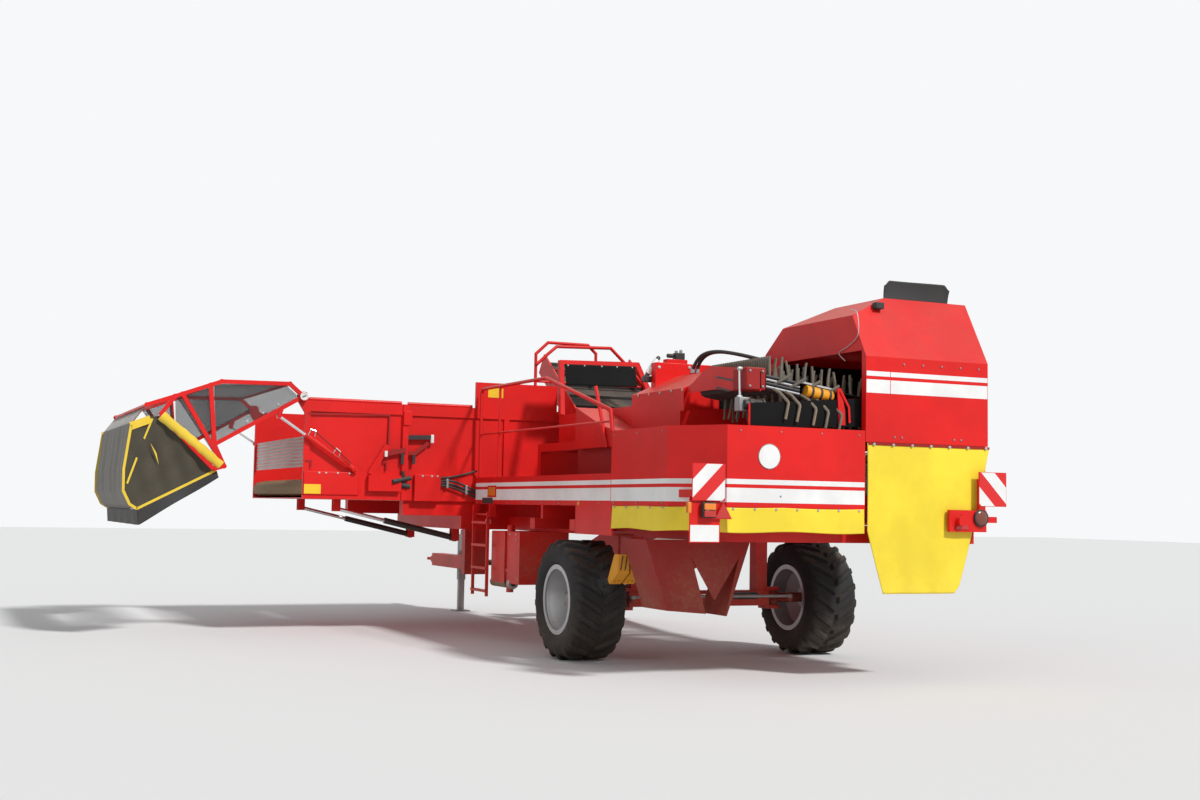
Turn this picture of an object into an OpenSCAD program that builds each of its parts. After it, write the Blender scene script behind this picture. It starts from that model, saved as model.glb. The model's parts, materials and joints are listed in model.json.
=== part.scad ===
// Trailed two-row potato harvester with a side hung bunker, in millimetres
// Before the datum shift, X is to the machine's right, Y forward from the axle and Z up from the floor

/* [Overall] */
// Half the width of the body between its side planes
body_half = 1377; // [1340:1:1420]
// Distance of the rear face behind the axle
rear_back = 2334; // [2300:1:2400]
// Furthest reach to the left, at the sail's tip
left_reach = 4950; // [4850:1:5050]
// Furthest reach to the right, at the warning board
right_reach = 1510; // [1480:1:1560]
// Furthest reach to the front, at the towing eye
front_reach = 6900; // [6800:10:7100]
// Furthest reach to the rear, at the lamps
rear_reach = 2444; // [2430:1:2500]
// Thickness of the red sheet panels with their folded edges
sheet = 12; // [8:1:16]
// Clear gap between pieces that move past each other
gap = 6; // [5:1:8]
// Running clearance of a pin in its bore
fit = 0.05; // [0.02:0.01:0.09]

/* [Wheels] */
// Tyre diameter over the lugs
tyre_d = 1060; // [1020:10:1080]
// Tyre width
tyre_w = 500; // [440:10:520]
// Height of the lugs
lug_h = 30; // [20:1:40]
// Number of lugs on each half of the tread
lug_count = 20; // [14:1:24]
// Diameter of the rim flange
rim_d = 620; // [580:10:640]
// Left wheel centre, left of the centreline
left_wheel = 1280; // [1260:10:1300]
// Right wheel centre, right of the centreline
right_wheel = 1100; // [1080:10:1110]
// Distance of the kingpin inboard of the wheel centre
king_in = 380; // [370:10:400]
// Kingpin radius
king_r = 25; // [20:1:30]
// Stub axle radius
stub_r = 45; // [40:1:50]
// Length of the steering arms
arm_len = 300; // [280:10:320]
// Steering angle to each side
steer_max = 20; // [15:1:20]

/* [Frame] */
// Underside of the main rails
rail_z = 1100; // [1095:5:1110]
// Height of the main rails
rail_h = 140; // [130:5:145]
// Width of the main rails
rail_w = 120; // [100:5:120]
// Outer face of the left rail, left of the centreline
rail_left = 960; // [940:5:970]
// Outer face of the centre rail, right of the centreline
rail_right = 140; // [130:5:145]
// Front end of the main rails
rail_front = 5200; // [5150:10:5250]
// Underside of the picking table and cleaner
deck_z = 1990; // [1980:5:2000]

/* [Drawbar] */
// Drawbar pivot, left of the centreline
bar_x = 450; // [430:10:470]
// Drawbar pivot ahead of the rails
bar_pivot = 65; // [62:1:75]
// Underside of the drawbar beam
bar_z = 560; // [540:10:580]
// Drawbar beam width
bar_w = 160; // [140:10:170]
// Drawbar beam height
bar_h = 160; // [140:10:170]
// Bore radius of the towing eye
eye_r = 20; // [18:1:22]
// Swing of the drawbar to each side
swing_max = 18; // [12:1:18]
// Side of the jack's square leg
jack_a = 70; // [60:1:75]
// Jack position ahead of the axle
jack_y = 6000; // [5950:10:6050]
// Lift of the jack leg
jack_lift = 360; // [300:10:360]

/* [Intake] */
// Left wall of the channel, right of the centreline
chan_left = 165; // [160:1:170]
// Slope of the intake channel
intake_tilt = 16.5; // [15:0.5:17]
// Intake pivot ahead of the axle
intake_y = 1150; // [1140:5:1160]
// Height of the intake pivot
intake_z = 1290; // [1280:5:1300]
// Length of the intake channel walls
intake_len = 3150; // [3050:10:3200]
// Lowering of the intake in degrees
intake_down = 3.4; // [2:0.1:3.5]
// Lifting of the intake in degrees
intake_up = 2.4; // [1:0.1:2.5]
// Radius of the web rods
rod_r = 6; // [5:0.5:7]
// Spacing of the web rods
web_pitch = 90; // [80:5:120]
// Radius of the web rollers
web_roll = 70; // [60:1:75]
// Disc coulter radius
disc_r = 300; // [280:5:310]

/* [Bunker] */
// Rear face of the bunker ahead of the axle
bunk_y = 2600; // [2590:5:2610]
// Length of the bunker along the machine
bunk_len = 2400; // [2300:10:2450]
// Split between the bunker and its liftable head, left of the centreline
split_x = 2200; // [2150:5:2250]
// Left end of the bunker head
head_x = 3210; // [3150:5:3250]
// Right end of the bunker
bunk_right = 150; // [145:1:155]
// Underside of the bunker
bunk_z = 1390; // [1380:5:1400]
// Height of the bunker walls
bunk_h = 940; // [900:5:960]
// Thickness of the bunker walls over their ribs
bunk_wall = 40; // [35:1:45]
// Lift of the bunker head in degrees
head_up = 30; // [20:1:32]
// Fold of the discharge boom in degrees
boom_up = 75; // [60:1:80]
// Top of the raised wall by the platform
part_top = 2655; // [2600:5:2700]

/* [Rear and platform] */
// Top of the low rear panel
panel_top = 2000; // [1990:5:2010]
// Underside of the low rear panel
panel_z = 1370; // [1360:5:1380]
// Fold of the tall rear housing
fold_z = 2600; // [2550:10:2650]
// Top of the tall rear housing
hood_z = 3130; // [3100:10:3150]
// Front end of the platform
plat_front = 2550; // [2500:10:2580]
// Rear end of the platform
plat_rear = 840; // [820:10:860]
// Top of the handrail
rail_top = 2640; // [2600:10:2680]
// Handrail tube radius
tube_r = 17; // [15:1:20]
// Fold of the ladder in degrees
ladder_up = 160; // [120:5:165]

/* [Hidden] */
$fn = 48;
red = [0.72, 0.07, 0.06];
dark_red = [0.42, 0.06, 0.06];
silver = [0.75, 0.75, 0.77];
black = [0.07, 0.07, 0.08];
yellow = [0.93, 0.74, 0.12];
steel = [0.45, 0.45, 0.47];
datum = [(left_reach - right_reach) / 2, (rear_reach - front_reach) / 2, 0];
eps = 0.01;
rail_top_z = rail_z + rail_h;
wheel_z = tyre_d / 2;
left_king = -left_wheel + king_in;
right_king = right_wheel - king_in;

// Bars between two points, and boxes from their low to their high corner
// Balls at the bends of a tube stand a little proud of it
ball = 0.6;
module shift() translate(datum) children();
module block(lo, hi) translate(lo) cube(hi - lo);
module bar(p, q, r) {
  d = q - p;
  flat = norm([d[0], d[1]]);
  translate(p) rotate([0, atan2(flat, d[2]), atan2(d[1], d[0])]) cylinder(h = norm(d), r = r);
}
module pipe(points, r) {
  for (i = [0:len(points) - 2]) bar(points[i], points[i + 1], r);
  for (i = [1:len(points) - 2]) translate(points[i]) sphere(r = r + ball);
}
// A profile in the Y and Z plane, carried along X from x0 to x1
module along_x(x0, x1) translate([x0, 0, 0]) rotate([90, 0, 90]) linear_extrude(x1 - x0) children();
// A profile in the X and Z plane, carried along Y from y0 to y1
module along_y(y0, y1) translate([0, y1, 0]) rotate([90, 0, 0]) linear_extrude(y1 - y0) children();
// A belt loop of a given wall, from the origin to a roller at a distance along the first axis
module loop_2d(run, r, wall) {
  difference() {
    race_2d(run, r + wall);
    race_2d(run, r);
  }
}
module race_2d(run, r) {
  circle(r = r);
  translate([run, 0]) circle(r = r);
  translate([0, -r]) square([run, 2 * r]);
}

// Main frame
rail_back = rear_back - 184;
cross_w = 120;
tower_w = 300;
lug_t = 30;
lug_top = bar_z + bar_h + 10;
pivot_y = rail_front + bar_pivot;
beam_rows = [-rail_back, -cross_w / 2, 900];
module main_frame() color(red) shift() {
  for (x = [-rail_left, rail_right - rail_w])
    block([x, -rail_back, rail_z], [x + rail_w, rail_front, rail_top_z]);
  for (y = concat(beam_rows, [bunk_y + bunk_wall, bunk_y + bunk_len - bunk_wall - cross_w]))
    block([-rail_left + rail_w - eps, y, rail_z], [rail_right - rail_w + eps, y + cross_w, rail_top_z]);
  for (y = beam_rows) {
    block([rail_right - eps, y, rail_z], [body_half, y + cross_w, rail_top_z]);
    if (y > -rail_back) block([-body_half + sheet, y, rail_z + 40], [-rail_left + eps, y + cross_w, rail_top_z]);
  }
  // Bracket and pin of the cylinder that swings the drawbar
  block([swing_base[0] - 40, rail_front - cross_w, bar_mid - swing_r - 24],
        [swing_base[0] + 40, rail_front - cross_w + 15, rail_z + eps]);
  for (z = [bar_mid - swing_r - 24, bar_mid + swing_r + gap])
    block([swing_base[0] - 40, rail_front - cross_w, z], [swing_base[0] + 40, swing_base[1] + 34, z + 18]);
  translate([swing_base[0], swing_base[1], bar_mid - swing_r - 20]) cylinder(h = 2 * swing_r + 40, r = ram_pin);
  difference() {
    union() {
      block([-rail_left, rail_front - cross_w, rail_z], [rail_right, rail_front, rail_top_z]);
      block([-bar_x - tower_w / 2, rail_front - cross_w, bar_z - 50],
            [-bar_x + tower_w / 2, rail_front, rail_z + eps]);
      for (z = [bar_z - 50, lug_top])
        block([-bar_x - 60, rail_front - eps, z], [-bar_x + 60, pivot_y + 60, z + lug_t]);
    }
    translate([-bar_x, pivot_y, bar_z - 60]) cylinder(h = bar_h + 120, r = bar_pin + fit);
  }
}

// Outriggers under the bunker, with the lugs of its head's lift cylinders
module outriggers() color(red) shift() {
  for (y = [bunk_y + bunk_wall, bunk_front - bunk_wall - cross_w])
    block([lift_base[0] - 50, y, rail_z], [-rail_left, y + cross_w, rail_top_z]);
  block([lift_base[0] - 50, bunk_y + bunk_wall, rail_z], [lift_base[0] + 50, bunk_front - bunk_wall, rail_top_z]);
  for (y = lift_ys) {
    for (s = [-1, 1]) {
      off = lift_r + 3 + (s > 0 ? 0 : 12);
      block([lift_base[0] - 40, y + s * off, lift_base[1] - 30],
            [lift_base[0] + 40, y + s * off + 12, rail_z + eps]);
    }
    translate([lift_base[0], y - lift_r - 10, lift_base[1]]) rotate([-90, 0, 0])
      cylinder(h = 2 * lift_r + 20, r = ram_pin);
  }
}

// Axle with its kingpin forks
axle_h = 140;
fork_t = 30;
fork_r = 90;
leg_w = 120;
axle_lo = wheel_z - axle_h / 2;
axle_hi = wheel_z + axle_h / 2;
king_barrel = 50;
module fork(x, side) {
  for (z = [axle_lo - fork_t, axle_hi]) {
    difference() {
      union() {
        translate([x, 0, z]) cylinder(h = fork_t, r = 65);
        block([min(x, x + side * 120), -65, z], [max(x, x + side * 120), 65, z + fork_t]);
      }
      translate([x, 0, z - 1]) cylinder(h = fork_t + 2, r = king_r + fit);
    }
  }
}
module axle_beam() color(red) shift() {
  block([left_king + 80, -axle_h / 2, axle_lo], [right_king - 80, axle_h / 2, axle_hi]);
  fork(left_king, 1);
  fork(right_king, -1);
  for (x = [left_king + 100, right_king - 100 - leg_w])
    block([x, -cross_w / 2, axle_hi - eps], [x + leg_w, cross_w / 2, rail_z]);
}

// Knuckles: side is -1 on the left and 1 on the right
arm_t = 30;
arm_z = wheel_z - 15;
tie_pin = 15;
hub_in = 140;
module knuckle(x, side) {
  difference() {
    union() {
      translate([x, 0, axle_lo - fork_t]) cylinder(h = axle_h + 2 * fork_t, r = king_r);
      translate([x, 0, axle_lo + 2]) cylinder(h = axle_h - 4, r = king_barrel);
      translate([x, 0, wheel_z]) rotate([0, side * 90, 0]) cylinder(h = king_in + 50, r = stub_r);
      block([x - 28, -arm_len, arm_z], [x + 28, 0, arm_z + arm_t]);
      translate([x, -arm_len, arm_z]) cylinder(h = arm_t, r = 28);
      translate([x, -arm_len, arm_z]) cylinder(h = 2 * arm_t + 8, r = tie_pin);
    }
  }
}
module knuckle_left() color(dark_red) shift() knuckle(left_king, -1);
module knuckle_right() color(dark_red) shift() knuckle(right_king, 1);

// Tie rod on the two arms
tie_z = arm_z + arm_t + 2;
module tie_rod() color(steel) shift() {
  difference() {
    union() {
      for (x = [left_king, right_king]) translate([x, -arm_len, tie_z]) cylinder(h = arm_t, r = 30);
      bar([left_king + 20, -arm_len, tie_z + arm_t / 2], [right_king - 20, -arm_len, tie_z + arm_t / 2], 14);
      translate([steer_eye, -arm_len, tie_z + arm_t / 2]) rotate([0, 90, 0]) cylinder(h = 40, r = 26);
      block([steer_eye, -arm_len, tie_z - 12], [steer_eye + 40, -arm_len + 150, tie_z + arm_t + 12]);
    }
    for (x = [left_king, right_king])
      translate([x, -arm_len, tie_z - 1]) cylinder(h = arm_t + 2, r = tie_pin + fit);
  }
}

// Steering cylinder behind the axle, pushing a lug on the tie rod
steer_eye = -260;
steer_y = -arm_len + 115;
steer_rod_r = 16;
steer_bar_r = 34;
steer_len = 420;
steer_base = steer_eye + 700;
steer_z = tie_z + arm_t / 2;
module steer_barrel() color(black) shift() {
  difference() {
    union() {
      translate([steer_base - steer_len, steer_y, steer_z]) rotate([0, 90, 0])
        cylinder(h = steer_len, r = steer_bar_r);
      block([steer_base - 60, steer_y, steer_z - 20], [steer_base, -axle_h / 2, steer_z + 20]);
    }
    translate([steer_base - steer_len - 1, steer_y, steer_z]) rotate([0, 90, 0])
      cylinder(h = steer_len - 30, r = steer_rod_r + fit);
  }
}
module steer_rod() color(silver) shift() {
  translate([steer_eye + 45, steer_y, steer_z]) rotate([0, 90, 0]) cylinder(h = 390, r = steer_rod_r);
  translate([steer_eye + 45, steer_y, steer_z]) rotate([0, 90, 0]) cylinder(h = 20, r = 25);
}

// Wheels: side points outwards
seat_r = rim_d / 2 - 25;
disc_t = 16;
disc_in = 60;
hub_r = 110;
module rim(x, side) {
  translate([x, 0, wheel_z]) rotate([0, side * 90, 0]) difference() {
    union() {
      rotate_extrude() {
        for (s = [-1, 1]) translate([seat_r - 16, s * tyre_w * 0.42 - 15]) square([41, 30]);
        translate([seat_r - 16, -tyre_w * 0.42]) square([16, tyre_w * 0.84]);
        polygon([[0, disc_in], [hub_r + 30, disc_in], [seat_r - 10, -disc_in],
                 [seat_r - 10, -disc_in - disc_t], [hub_r + 30, disc_in - disc_t], [0, disc_in - disc_t]]);
      }
      translate([0, 0, -60]) cylinder(h = 150, r = hub_r - 20);
    }
    translate([0, 0, -hub_in]) cylinder(h = hub_in + 50 + 1, r = stub_r + fit);
  }
}
module rim_left() color(silver) shift() rim(-left_wheel, -1);
module rim_right() color(silver) shift() rim(right_wheel, 1);
carcass_r = tyre_d / 2 - lug_h;
module tyre(x, side) {
  translate([x, 0, wheel_z]) rotate([0, side * 90, 0]) {
    rotate_extrude() difference() {
      polygon([[seat_r, -tyre_w * 0.42 + 15], [rim_d / 2, -tyre_w * 0.42 + 15],
               [rim_d / 2 + 30, -tyre_w / 2 + 30], [carcass_r - 90, -tyre_w / 2],
               [carcass_r - 20, -tyre_w / 2 + 25], [carcass_r, -tyre_w / 4], [carcass_r, tyre_w / 4],
               [carcass_r - 20, tyre_w / 2 - 25], [carcass_r - 90, tyre_w / 2],
               [rim_d / 2 + 30, tyre_w / 2 - 30], [rim_d / 2, tyre_w * 0.42 - 15],
               [seat_r, tyre_w * 0.42 - 15]]);
      translate([seat_r - 1, -tyre_w * 0.3]) square([carcass_r - seat_r - 40, tyre_w * 0.6]);
    }
    for (s = [-1, 1], i = [0:lug_count - 1])
      rotate((i + (s + 1) / 4) * 360 / lug_count) translate([carcass_r - 25, 0, s * (tyre_w / 4 - 10)])
        rotate([s * 25, 0, 0]) translate([0, -20, -tyre_w / 4 + 25]) cube([lug_h + 20, 40, tyre_w / 2 - 50]);
  }
}
module tyre_left() color(black) shift() tyre(-left_wheel, -1);
module tyre_right() color(black) shift() tyre(right_wheel, 1);

// Drawbar with its towing eye, its jack's tube and leg
bar_pin = 30;
eye_ring = 60;
eye_t = 36;
eye_y = front_reach - eye_ring;
bar_mid = bar_z + bar_h / 2;
ram_lug_y = pivot_y + 520;
ram_lug_x = -bar_x + 150;
module drawbar() color(red) shift() {
  difference() {
    union() {
      translate([-bar_x, pivot_y, bar_z - 15]) cylinder(h = bar_h + 20, r = bar_pin + 25);
      translate([-bar_x, pivot_y, bar_z - 50]) cylinder(h = lug_top + lug_t - bar_z + 50, r = bar_pin);
      block([-bar_x - bar_w / 2, pivot_y + 35, bar_z], [-bar_x + bar_w / 2, eye_y - 260, bar_z + bar_h]);
      block([-bar_x - 50, eye_y - 261, bar_mid - 40], [-bar_x + 50, eye_y - 120, bar_mid + 40]);
      block([-bar_x - 35, eye_y - 121, bar_mid - eye_t / 2], [-bar_x + 35, eye_y, bar_mid + eye_t / 2]);
      translate([-bar_x, eye_y, bar_mid - eye_t / 2]) cylinder(h = eye_t, r = eye_ring);
      for (z = [bar_mid - 45, bar_mid + 25])
        block([-bar_x + bar_w / 2 - eps, ram_lug_y - 40, z], [ram_lug_x + 40, ram_lug_y + 40, z + 20]);
    }
    translate([-bar_x, eye_y, bar_mid - eye_t]) cylinder(h = 2 * eye_t, r = eye_r);
  }
}

// Drawbar pin in the tower, and the cylinder that swings the drawbar
swing_base = [-bar_x + 470, rail_front - 60];
swing_end = [ram_lug_x, ram_lug_y];
swing_run = swing_end - swing_base;
swing_len = norm(swing_run);
swing_ang = atan2(swing_run[1], swing_run[0]);
swing_bar = 430;
swing_r = 36;
module drawbar_barrel() color(black) shift() {
  translate([swing_base[0], swing_base[1], bar_mid]) rotate([0, 90, swing_ang]) difference() {
    union() {
      cylinder(h = swing_bar, r = swing_r);
      translate([-swing_r, 0, 0]) rotate([0, 90, 0]) cylinder(h = 2 * swing_r, r = swing_r);
    }
    translate([0, 0, 60]) cylinder(h = swing_bar, r = 20 + fit);
    translate([-swing_r - 1, 0, 0]) rotate([0, 90, 0]) cylinder(h = 2 * swing_r + 2, r = ram_pin + fit);
  }
}
module drawbar_rod() color(silver) shift() {
  translate([swing_base[0], swing_base[1], bar_mid]) rotate([0, 90, swing_ang]) {
    translate([0, 0, 230]) cylinder(h = swing_len - 230, r = 20);
    translate([-14, 0, swing_len]) rotate([0, 90, 0]) cylinder(h = 28, r = 26);
  }
}

// Parking jack beside the drawbar
jack_x = -bar_x + bar_w / 2 + 50;
jack_wall = 8;
jack_low = 400;
jack_top = 980;
leg_top = 600;
foot_t = 15;
foot_a = 200;
module jack_tube() color(steel) shift() {
  o = jack_a / 2 + jack_wall;
  i = jack_a / 2 + 0.3;
  difference() {
    union() {
      block([jack_x - o, jack_y - o, jack_low], [jack_x + o, jack_y + o, jack_top]);
      block([-bar_x + bar_w / 2, jack_y - 30, bar_z + 20], [jack_x - o + eps, jack_y + 30, bar_z + bar_h - 20]);
      translate([jack_x, jack_y, jack_top - eps]) cylinder(h = 60, r = 22);
      bar([jack_x, jack_y, jack_top + 40], [jack_x + 120, jack_y, jack_top + 40], 9);
    }
    block([jack_x - i, jack_y - i, jack_low - 1], [jack_x + i, jack_y + i, jack_top - 10]);
  }
}
module jack_leg() color(steel) shift() {
  a = jack_a / 2;
  block([jack_x - a, jack_y - a, foot_t - eps], [jack_x + a, jack_y + a, leg_top]);
  block([jack_x - foot_a / 2, jack_y - foot_a / 2, 0], [jack_x + foot_a / 2, jack_y + foot_a / 2, foot_t]);
}

// Gearbox with the driven shaft stub above the drawbar
stub_pto = 17.45;
module pto_gearbox() color(steel) shift() {
  z = lug_top + lug_t + 30;
  block([-bar_x - 110, rail_front, z], [-bar_x + 110, rail_front + 190, z + 200]);
  translate([-bar_x, rail_front + 190 - eps, z + 100]) rotate([-90, 0, 0]) cylinder(h = 30, r = 70);
  translate([-bar_x, rail_front + 190, z + 100]) rotate([-90, 0, 0]) cylinder(h = 120, r = stub_pto);
}

// Rear part of the crop channel, with the second web in it
chan_right = body_half;
chan_back = rear_back - 34;
chan_top = 1910;
in_left = chan_left + sheet;
in_right = chan_right - sheet;
module channel() color(red) shift() {
  difference() {
    union() {
      for (x = [chan_left, in_right]) along_x(x, x + sheet)
        polygon([[-chan_back, rail_top_z], [intake_y + 60, rail_top_z], [intake_y + 60, 1560],
                 [-760, chan_top], [-chan_back, chan_top]]);
      for (y = [-chan_back + 100, -1000, 400])
        bar([in_left - eps, y, rail_top_z + 30], [in_right + eps, y, rail_top_z + 30], 25);
      for (s = [[chan_left, -1], [chan_right, 1]])
        translate([s[0], ram_y, ram_z]) rotate([0, s[1] * 90, 0]) {
          cylinder(h = 3, r = ram_r);
          cylinder(h = 2 * ram_out + 4, r = ram_pin);
          translate([0, 0, 2 * ram_out - 3]) cylinder(h = 7, r = ram_r);
        }
    }
    for (x = [chan_left - 1, in_right - 1])
      translate([x, intake_y, intake_z]) rotate([0, 90, 0]) cylinder(h = sheet + 2, r = hinge_r + fit);
  }
}
module web(run, r, x0, x1) {
  belt_w = 60;
  count = floor(run / web_pitch);
  for (x = [x0 + 8, x1 - 8 - belt_w]) along_x(x, x + belt_w) loop_2d(run, r, 10);
  for (i = [0:count], s = [-1, 1])
    translate([x0 + 8, (i + 0.5) * run / (count + 1), s * (r + 10)]) rotate([0, 90, 0])
      cylinder(h = x1 - x0 - 16, r = rod_r, $fn = 6);
  for (y = [0, run]) {
    translate([x0, y, 0]) rotate([0, 90, 0]) cylinder(h = x1 - x0, r = 25);
    for (x = [x0 + 8, x1 - 8 - belt_w]) translate([x, y, 0]) rotate([0, 90, 0]) cylinder(h = belt_w, r = r);
  }
}
web2_front = [1000, 1400];
web2_back = [-2060, 1760];
web2_run = norm(web2_back - web2_front);
web2_tilt = atan2(web2_front[1] - web2_back[1], web2_front[0] - web2_back[0]);
module second_web() color(steel) shift()
  translate([0, web2_back[0], web2_back[1]]) rotate([web2_tilt, 0, 0])
    web(web2_run, web_roll, in_left, in_right);

// Intake: a channel that swings about its rear pins, with shares, discs and diabolo rollers
hinge_r = 30;
take_l = in_left + 13;
take_r = in_right - 13;
module at_intake() shift() translate([0, intake_y, intake_z]) rotate([-intake_tilt, 0, 0]) children();
disc_u = 2930;
disc_v = 190;
disc_pin = 20;
disc_xs = [take_l - 70, take_r + 70];
roll_u = 3300;
roll_v = 330;
module intake_frame() color(red) at_intake() {
  for (x = [take_l, take_r - sheet]) {
    along_x(x, x + sheet)
      polygon([[-60, -60], [120, -150], [intake_len, -110], [intake_len, 60], [intake_len - 500, 250], [200, 250],
               [-60, 60]]);
  }
  for (s = [[take_l, -1], [take_r, 1]])
    translate([s[0], 0, 0]) rotate([0, s[1] * 90, 0]) cylinder(h = 13 + sheet, r = hinge_r);
  for (u = [300, 1300, 2300]) bar([take_l + 1, u, -118], [take_r - 1, u, -118], 22);
  for (u = [500, 1900]) bar([take_l + 1, u, 215], [take_r - 1, u, 215], 25);
  for (i = [0, 1]) {
    x = disc_xs[i];
    s = i == 0 ? -1 : 1;
    w = i == 0 ? take_l : take_r;
    bar([w - s * 2, disc_u - 420, disc_v + 20], [x + s * 75, disc_u - 420, disc_v + 20], 25);
    bar([x + s * 60, disc_u - 420, disc_v + 20], [x + s * 60, disc_u, disc_v], 22);
    bar([x + s * 60, disc_u, disc_v], [x + s * 9, disc_u, disc_v], disc_pin);
  }
  for (x = [take_l, take_r - sheet]) along_x(x, x + sheet) difference() {
    polygon([[intake_len - 520, 200], [roll_u + 40, roll_v + 40], [roll_u + 40, roll_v - 40],
             [intake_len - 400, 120]]);
    translate([roll_u, roll_v]) circle(r = disc_pin + fit);
  }
  // Lugs that the lift cylinders push on, in the intake's own frame
  for (s = [[ram_xs[0], take_l, 1], [ram_xs[1], take_r, -1]]) {
    for (o = [-28, 20]) block([s[0] + o, ram_u - 30, ram_v - 30], [s[0] + o + 8, ram_u + 76, ram_v + 30]);
    lo = min(s[0] - 28, s[1] - (s[2] > 0 ? 0 : sheet));
    hi = max(s[0] + 28, s[1] + (s[2] > 0 ? sheet : 0));
    block([lo, ram_u + 40, ram_v - 78], [hi, ram_u + 76, ram_v + 30]);
    block([s[1] - (s[2] > 0 ? 0 : sheet), ram_u + 20, 200], [s[1] + (s[2] > 0 ? sheet : 0), ram_u + 96, ram_v + 30]);
  }
  share();
}
share_tip = 3420;
module share() {
  n = 4;
  w = (take_r - take_l) / n;
  translate([0, 0, -110]) linear_extrude(14) {
    translate([take_l, intake_len - 80]) square([take_r - take_l, 160]);
    for (i = [0:n - 1]) translate([take_l + i * w, intake_len + 79])
      polygon([[4, 0], [w / 2, share_tip - intake_len - 79], [w - 4, 0]]);
  }
}
web1_u = [80, 3000];
module first_web() color(steel) at_intake() translate([0, web1_u[0], 60])
  web(web1_u[1] - web1_u[0], web_roll, take_l + sheet, take_r - sheet);
module disc(x) at_intake() difference() {
  union() {
    translate([x - 4, disc_u, disc_v]) rotate([0, 90, 0]) cylinder(h = 8, r = disc_r);
    translate([x - 30, disc_u, disc_v]) rotate([0, 90, 0]) cylinder(h = 60, r = 45);
  }
  translate([x - 31, disc_u, disc_v]) rotate([0, 90, 0]) cylinder(h = 62, r = disc_pin + fit);
}
module disc_left() color(silver) disc(disc_xs[0]);
module disc_right() color(silver) disc(disc_xs[1]);
module diabolo_rollers() color(steel) at_intake() translate([take_l + sheet + 2, roll_u, roll_v]) {
  half = (take_r - take_l - 2 * sheet - 4) / 2;
  translate([-sheet, 0, 0]) rotate([0, 90, 0]) cylinder(h = 2 * (half + sheet), r = disc_pin);
  for (x = [0, half]) translate([x, 0, 0]) rotate([0, 90, 0]) rotate_extrude()
    polygon([[0, 20], [240, 20], [240, 40], [130, half / 2], [240, half - 40], [240, half - 20], [0, half - 20]]);
}

// Lift cylinders of the intake, one on each side, between the rear channel and the intake
ram_y = 950;
ram_z = 1540;
ram_eye = [2150, 1440];
ram_rise = ram_eye - [intake_y, intake_z];
ram_u = ram_rise[0] * cos(intake_tilt) - ram_rise[1] * sin(intake_tilt);
ram_v = ram_rise[0] * sin(intake_tilt) + ram_rise[1] * cos(intake_tilt);
ram_out = 30;
ram_xs = [chan_left - ram_out, chan_right + ram_out];
ram_pin = 15;
ram_run = ram_eye - [ram_y, ram_z];
ram_len = norm(ram_run);
ram_ang = atan2(ram_run[0], ram_run[1]);
ram_r = 26;
// A cylinder's barrel and rod, along Z from its base pin, which lies along X
module ram_tube(length, r, rod) {
  difference() {
    union() {
      cylinder(h = length, r = r);
      translate([-r, 0, 0]) rotate([0, 90, 0]) cylinder(h = 2 * r, r = r + 6);
    }
    translate([0, 0, r + 20]) cylinder(h = length, r = rod + fit);
    translate([-r - 1, 0, 0]) rotate([0, 90, 0]) cylinder(h = 2 * r + 2, r = ram_pin + fit);
  }
}
module ram_shaft(start, total, rod) {
  translate([0, 0, start]) cylinder(h = total - start, r = rod);
  translate([-14, 0, total]) rotate([0, 90, 0]) cylinder(h = 28, r = 24);
}
module at_ram(x) shift() translate([x, ram_y, ram_z]) rotate([-ram_ang, 0, 0]) children();
module intake_barrels() color(black) for (x = ram_xs) at_ram(x) ram_tube(0.6 * ram_len, ram_r, 16);
module intake_rods() color(silver) for (x = ram_xs) at_ram(x) ram_shaft(0.3 * ram_len, ram_len, 16);

// Tall rear housing over the end of the channel
lean = 300;
hood_front = 1310;
hood_low = 2740;
hood_step = 760;
hood_cut = 540;
hood_win = 2650;
module hood_side_2d() polygon([[-rear_back, chan_top], [-rear_back, fold_z], [lean - rear_back, hood_z],
  [-hood_front, hood_z], [-hood_step, hood_low], [-hood_step, chan_top]]);
module hood_body(t) along_x(chan_left + t, chan_right - t) offset_2d(t) hood_side_2d();
module offset_2d(t) {
  if (t == 0) children();
  else polygon([[t - rear_back, chan_top - 1], [t - rear_back, fold_z - 4], [lean + t - rear_back, hood_z - t],
    [-hood_front - 2, hood_z - t], [-hood_step - t, hood_low - 4], [-hood_step - t, chan_top - 1]]);
}
module rear_hood() color(red) shift() {
  for (p = [hose_a[len(hose_a) - 1], hose_b[len(hose_b) - 1]])
    translate(p) rotate([0, 90, 0]) cylinder(h = gland[1] + eps, r = gland[0]);
  difference() {
    intersection() {
      hood_body(0);
      along_y(-rear_back - 1, 0)
        polygon([[chan_left, chan_top], [chan_right, chan_top], [chan_right, hood_z], [hood_cut, hood_z],
                 [chan_left, hood_z - 180]]);
    }
    intersection() {
      hood_body(sheet);
      along_y(-rear_back - 1, 0)
        polygon([[chan_left, chan_top - 1], [chan_right, chan_top - 1], [chan_right, hood_z - sheet],
                 [hood_cut + 3, hood_z - sheet], [chan_left, hood_z - 180 - sheet]]);
    }
    block([chan_left - 1, 60 - rear_back, chan_top - 1], [in_left + 1, -1020, hood_win]);
    block([in_left + 120, -hood_step - sheet - 1, chan_top + 100], [in_right - 40, 1 - hood_step, hood_low - 120]);
  }
}
flap_h = 160;
module hood_flap() color(black) shift()
  along_y(lean - rear_back, lean - rear_back + 14)
    polygon([[hood_cut, hood_z], [1200, hood_z], [1200, hood_z + flap_h - 40], [1150, hood_z + flap_h],
             [hood_cut + 60, hood_z + flap_h], [hood_cut, hood_z + flap_h - 40]]);

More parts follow.
